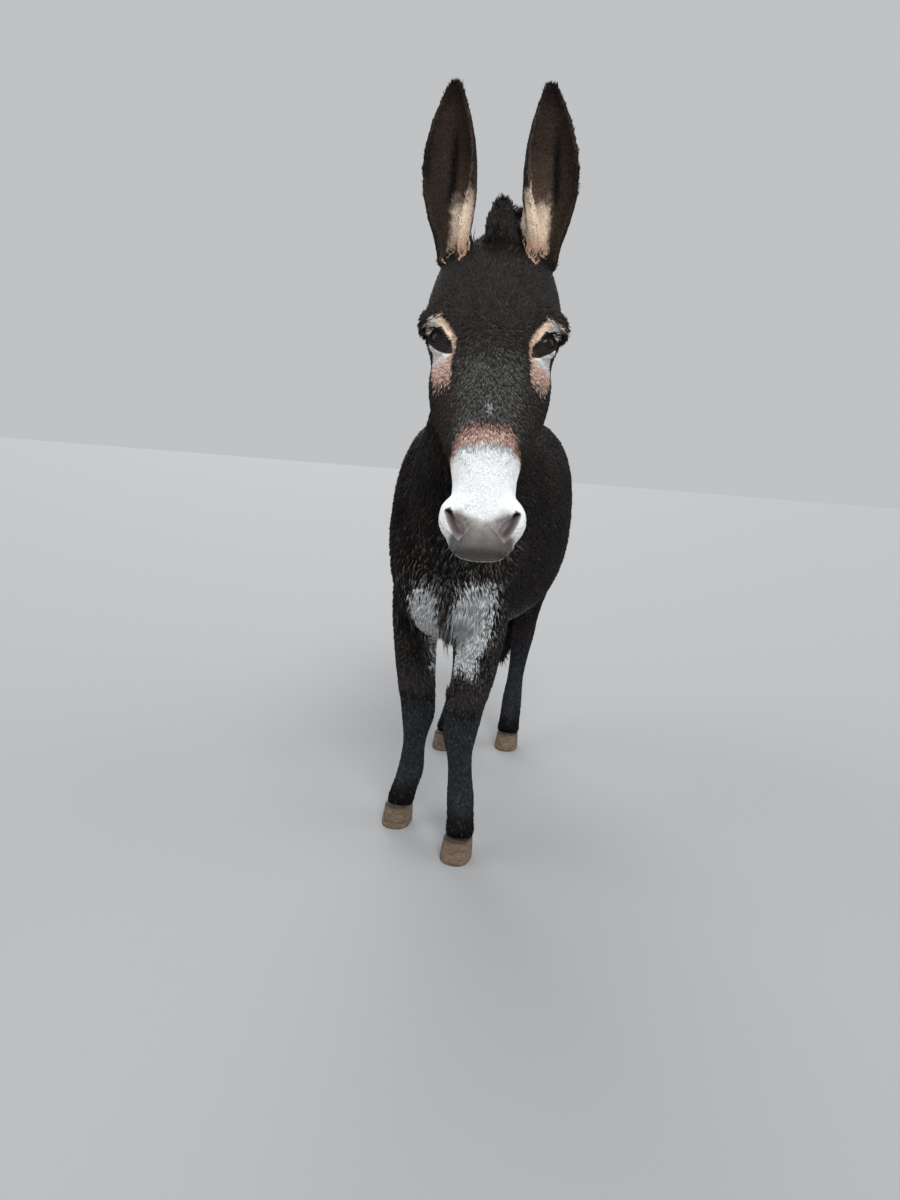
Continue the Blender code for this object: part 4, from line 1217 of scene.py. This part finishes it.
def coat_mesh(name, tufts, colours, u, v):
    """A piece of the coat from the four corners of each tuft."""
    faces = np.array(((0, 2, 1), (3, 1, 2), (0, 1, 3), (0, 3, 2)))
    triangles = (np.arange(len(tufts))[:, None, None] * 4 + faces).reshape(-1, 3)
    mesh = mesh_of(name, tufts.reshape(-1, 3), triangles)
    tinted(mesh, colours.reshape(-1, 3))
    inset = PATCH / 2 + 0.002
    place = np.stack((u, v), axis=1) * (1 - 2 * inset) + inset
    offsets = np.array(((0, -0.5), (-0.5, 0), (0.5, 0), (0, 0.5))) * PATCH
    uv = (place[:, None, :] + offsets).reshape(-1, 2)
    layer = mesh.uv_layers.new(name="OFBake")
    layer.data.foreach_set("uv", uv[triangles.ravel()].astype(np.float32).ravel())
    piece = linked(bpy.data.objects.new(name, mesh))
    mesh.materials.append(COAT_FINISH)
    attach(piece, "root")
    if name in HAIR_CORES:
        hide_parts(name)


def coat():
    """All the coat, with more than one piece for a region of many tufts."""
    tufts, colours, region, roots, outs = grown(np.random.default_rng(SEED))
    for index, name in enumerate(REGIONS):
        here = np.flatnonzero(region == index)
        u, v = unwrapped(roots[here], outs[here], name)
        parts = max(1, math.ceil(len(here) / TUFTS_IN_PIECE))
        if parts == 1:
            piece = name if name in HAIR_CORES else f"coat_{name}"
            coat_mesh(piece, tufts[here], colours[here], u, v)
            continue
        order = np.argsort(u, kind="stable")
        for part, chosen in enumerate(np.array_split(order, parts), start=1):
            start, end = u[chosen].min(), u[chosen].max()
            spread = (u[chosen] - start) / (end - start)
            picked = here[chosen]
            coat_mesh(f"coat_{name}_{part}", tufts[picked], colours[picked], spread, v[chosen])


coat()

# ---------------- eyes

CORNEA_RISE = 1.6 * MM
CORNEA_REACH = 15.0 * MM
PUPIL = (8.0 * MM, 4.2 * MM)  # half its length along the slit, and half its height
IRIS_DARK, IRIS_BROWN = tone(16, 12, 11), tone(36, 25, 20)
EYE_WHITE, PUPIL_BLACK = tone(46, 38, 34), tone(6, 6, 8)


def made_eye(name, sign):
    """A dark eye with a raised cornea and a long level pupil."""
    bm = bmesh.new()
    bmesh.ops.create_uvsphere(bm, u_segments=64, v_segments=40, radius=EYE_RADIUS - 0.6 * MM)
    bmesh.ops.triangulate(bm, faces=bm.faces)
    eye = object_of(f"eyeball_{name}", bm)
    ball = corners_of(eye.data)
    off = np.hypot(ball[:, 0], ball[:, 1])
    front = ball[:, 2] > 0
    ball[:, 2] += CORNEA_RISE * front * ramp(off, CORNEA_REACH, 0)
    iris = front * ramp(off, 14.0 * MM, 12.8 * MM)
    pupil = front * ramp(np.hypot(ball[:, 0] / PUPIL[0], ball[:, 1] / PUPIL[1]), 1.15, 0.9)
    round_it = np.stack((np.arctan2(ball[:, 1], ball[:, 0]) * 9, off * 60, off * 0), 1)
    rays = mixed(IRIS_DARK, IRIS_BROWN, 0.5 + 0.5 * noise(round_it, 1.0, 9))
    tinted(eye.data, mixed(mixed(EYE_WHITE, rays, iris), PUPIL_BLACK, pupil))
    set_corners(eye.data, ball @ eye_axes(sign) + EYES[name])
    if sign > 0:
        eye.data.flip_normals()
    eye.data.shade_smooth()
    eye.data.materials.append(EYE_FINISH)
    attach(eye, "root")
    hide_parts(f"eye_{name}")


for name, sign in SIDES:
    made_eye(name, sign)

# ---------------- hooves

HORN_LIGHT, HORN_DARK = tone(128, 107, 86), tone(70, 57, 46)
HOOF_VOXEL = 1.8 * MM


def made_hoof(name):
    """A hoof with growth rings, rounded edges and a level sole."""
    bm = bmesh.new()
    bm.from_mesh(NODES[name].data)
    hoof = remeshed(object_of(f"horn_{name}", bm), HOOF_VOXEL)
    hoof.modifiers.new("fine", "TRIANGULATE")
    hoof = applied(hoof)
    hoof = smoothed(hoof, np.ones(len(hoof.data.vertices)), 4)
    place, out = surface_of(hoof.data)
    aside = out * np.array((1, 1, 0))
    height = place[:, 2]
    rings = np.sin(height / MM * 1.15 + 1.2 * noise(place, 25 * MM, 3)) * 0.35 * MM
    rings += 0.5 * MM * noise(place * np.array((0.25, 0.25, 1.0)), 2.5 * MM, 4)
    place += aside * (rings * ramp(height, 2 * MM, 8 * MM))[:, None]
    place[:, 2] = np.where(height < 1.2 * MM, 0.0, place[:, 2])
    set_corners(hoof.data, place)
    streak = 0.5 + 0.5 * noise(place * np.array((0.3, 0.3, 1.0)), 3 * MM, 5)
    streak *= 0.75 + 0.25 * noise(place, 30 * MM, 6)
    colours = mixed(HORN_DARK, HORN_LIGHT, streak)
    colours = mixed(colours, HORN_DARK * 0.5, ramp(height, 46 * MM, 56 * MM))
    tinted(hoof.data, colours)
    hoof.data.shade_smooth()
    hoof.data.materials.append(HOOF_FINISH)
    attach(hoof, "root")
    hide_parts(name)


for name in NODES:
    if name.startswith("hoof"):
        made_hoof(name)

# ---------------- stage, light and camera

PALE, FLOOR_GREY = tone(206, 208, 210), tone(157, 158, 159)
WORLD_STRENGTH, FLOOR_SIZE = 0.85, 30
# Soft suns: the direction they shine from, their strength and their width in degrees.
SUNS = {
    "key": ((0.45, -1.0, 1.0), 2.1, 30),
    "fill": ((-1.0, -0.3, 0.5), 0.9, 50),
    "side": ((1.0, 0.25, 0.5), 0.6, 50),
    "rim": ((-0.4, 1.0, 0.7), 1.6, 40),
}


def floor():
    bm = bmesh.new()
    bmesh.ops.create_grid(bm, x_segments=1, y_segments=1, size=FLOOR_SIZE)
    piece = object_of("floor", bm)
    material = bpy.data.materials.new("floor")
    material.use_nodes = True
    surface = material.node_tree.nodes["Principled BSDF"]
    values_set(surface, {"Base Color": (*FLOOR_GREY, 1), "Roughness": 0.9})
    piece.data.materials.append(material)


def sun(name, towards, strength, width):
    """A broad, soft sun that shines from the given direction."""
    lamp = bpy.data.lights.new(name, "SUN")
    lamp.energy = strength
    lamp.angle = math.radians(width)
    obj = linked(bpy.data.objects.new(name, lamp))
    obj.rotation_mode = "QUATERNION"
    obj.rotation_quaternion = Vector(towards).to_track_quat("Z", "Y")
    obj.visible_camera = False


def world():
    scene = bpy.context.scene
    scene.world = bpy.data.worlds.new("studio")
    scene.world.use_nodes = True
    background = scene.world.node_tree.nodes["Background"]
    values_set(background, {"Color": (*PALE, 1), "Strength": WORLD_STRENGTH})
    scene.view_settings.view_transform = "Standard"


CAMERA_PLACE = np.array((0.3941, -1.9111, 1.0))
CAMERA_LENS = 22.8
CAMERA_YAW, CAMERA_PITCH, CAMERA_ROLL = math.radians(13.0), math.radians(11.2), math.radians(4.15)


def camera():
    """Where the photo was taken from: close in front, a little above the back."""
    level = np.array((math.cos(CAMERA_YAW), math.sin(CAMERA_YAW), 0.0))
    ahead = np.array((-math.sin(CAMERA_YAW), math.cos(CAMERA_YAW), 0.0))
    ahead = ahead * math.cos(CAMERA_PITCH) - UP * math.sin(CAMERA_PITCH)
    above = np.cross(level, ahead)
    right = level * math.cos(CAMERA_ROLL) + above * math.sin(CAMERA_ROLL)
    above = above * math.cos(CAMERA_ROLL) - level * math.sin(CAMERA_ROLL)
    data = bpy.data.cameras.new("camera")
    data.sensor_width = 36.0
    data.lens = CAMERA_LENS
    data.clip_start, data.clip_end = 0.02, 100.0
    obj = linked(bpy.data.objects.new("camera", data))
    turn = Matrix(np.array((right, above, -ahead)).T.tolist()).to_4x4()
    obj.matrix_world = Matrix.Translation(Vector(CAMERA_PLACE)) @ turn
    bpy.context.scene.camera = obj


floor()
world()
for name, settings in SUNS.items():
    sun(name, *settings)
camera()
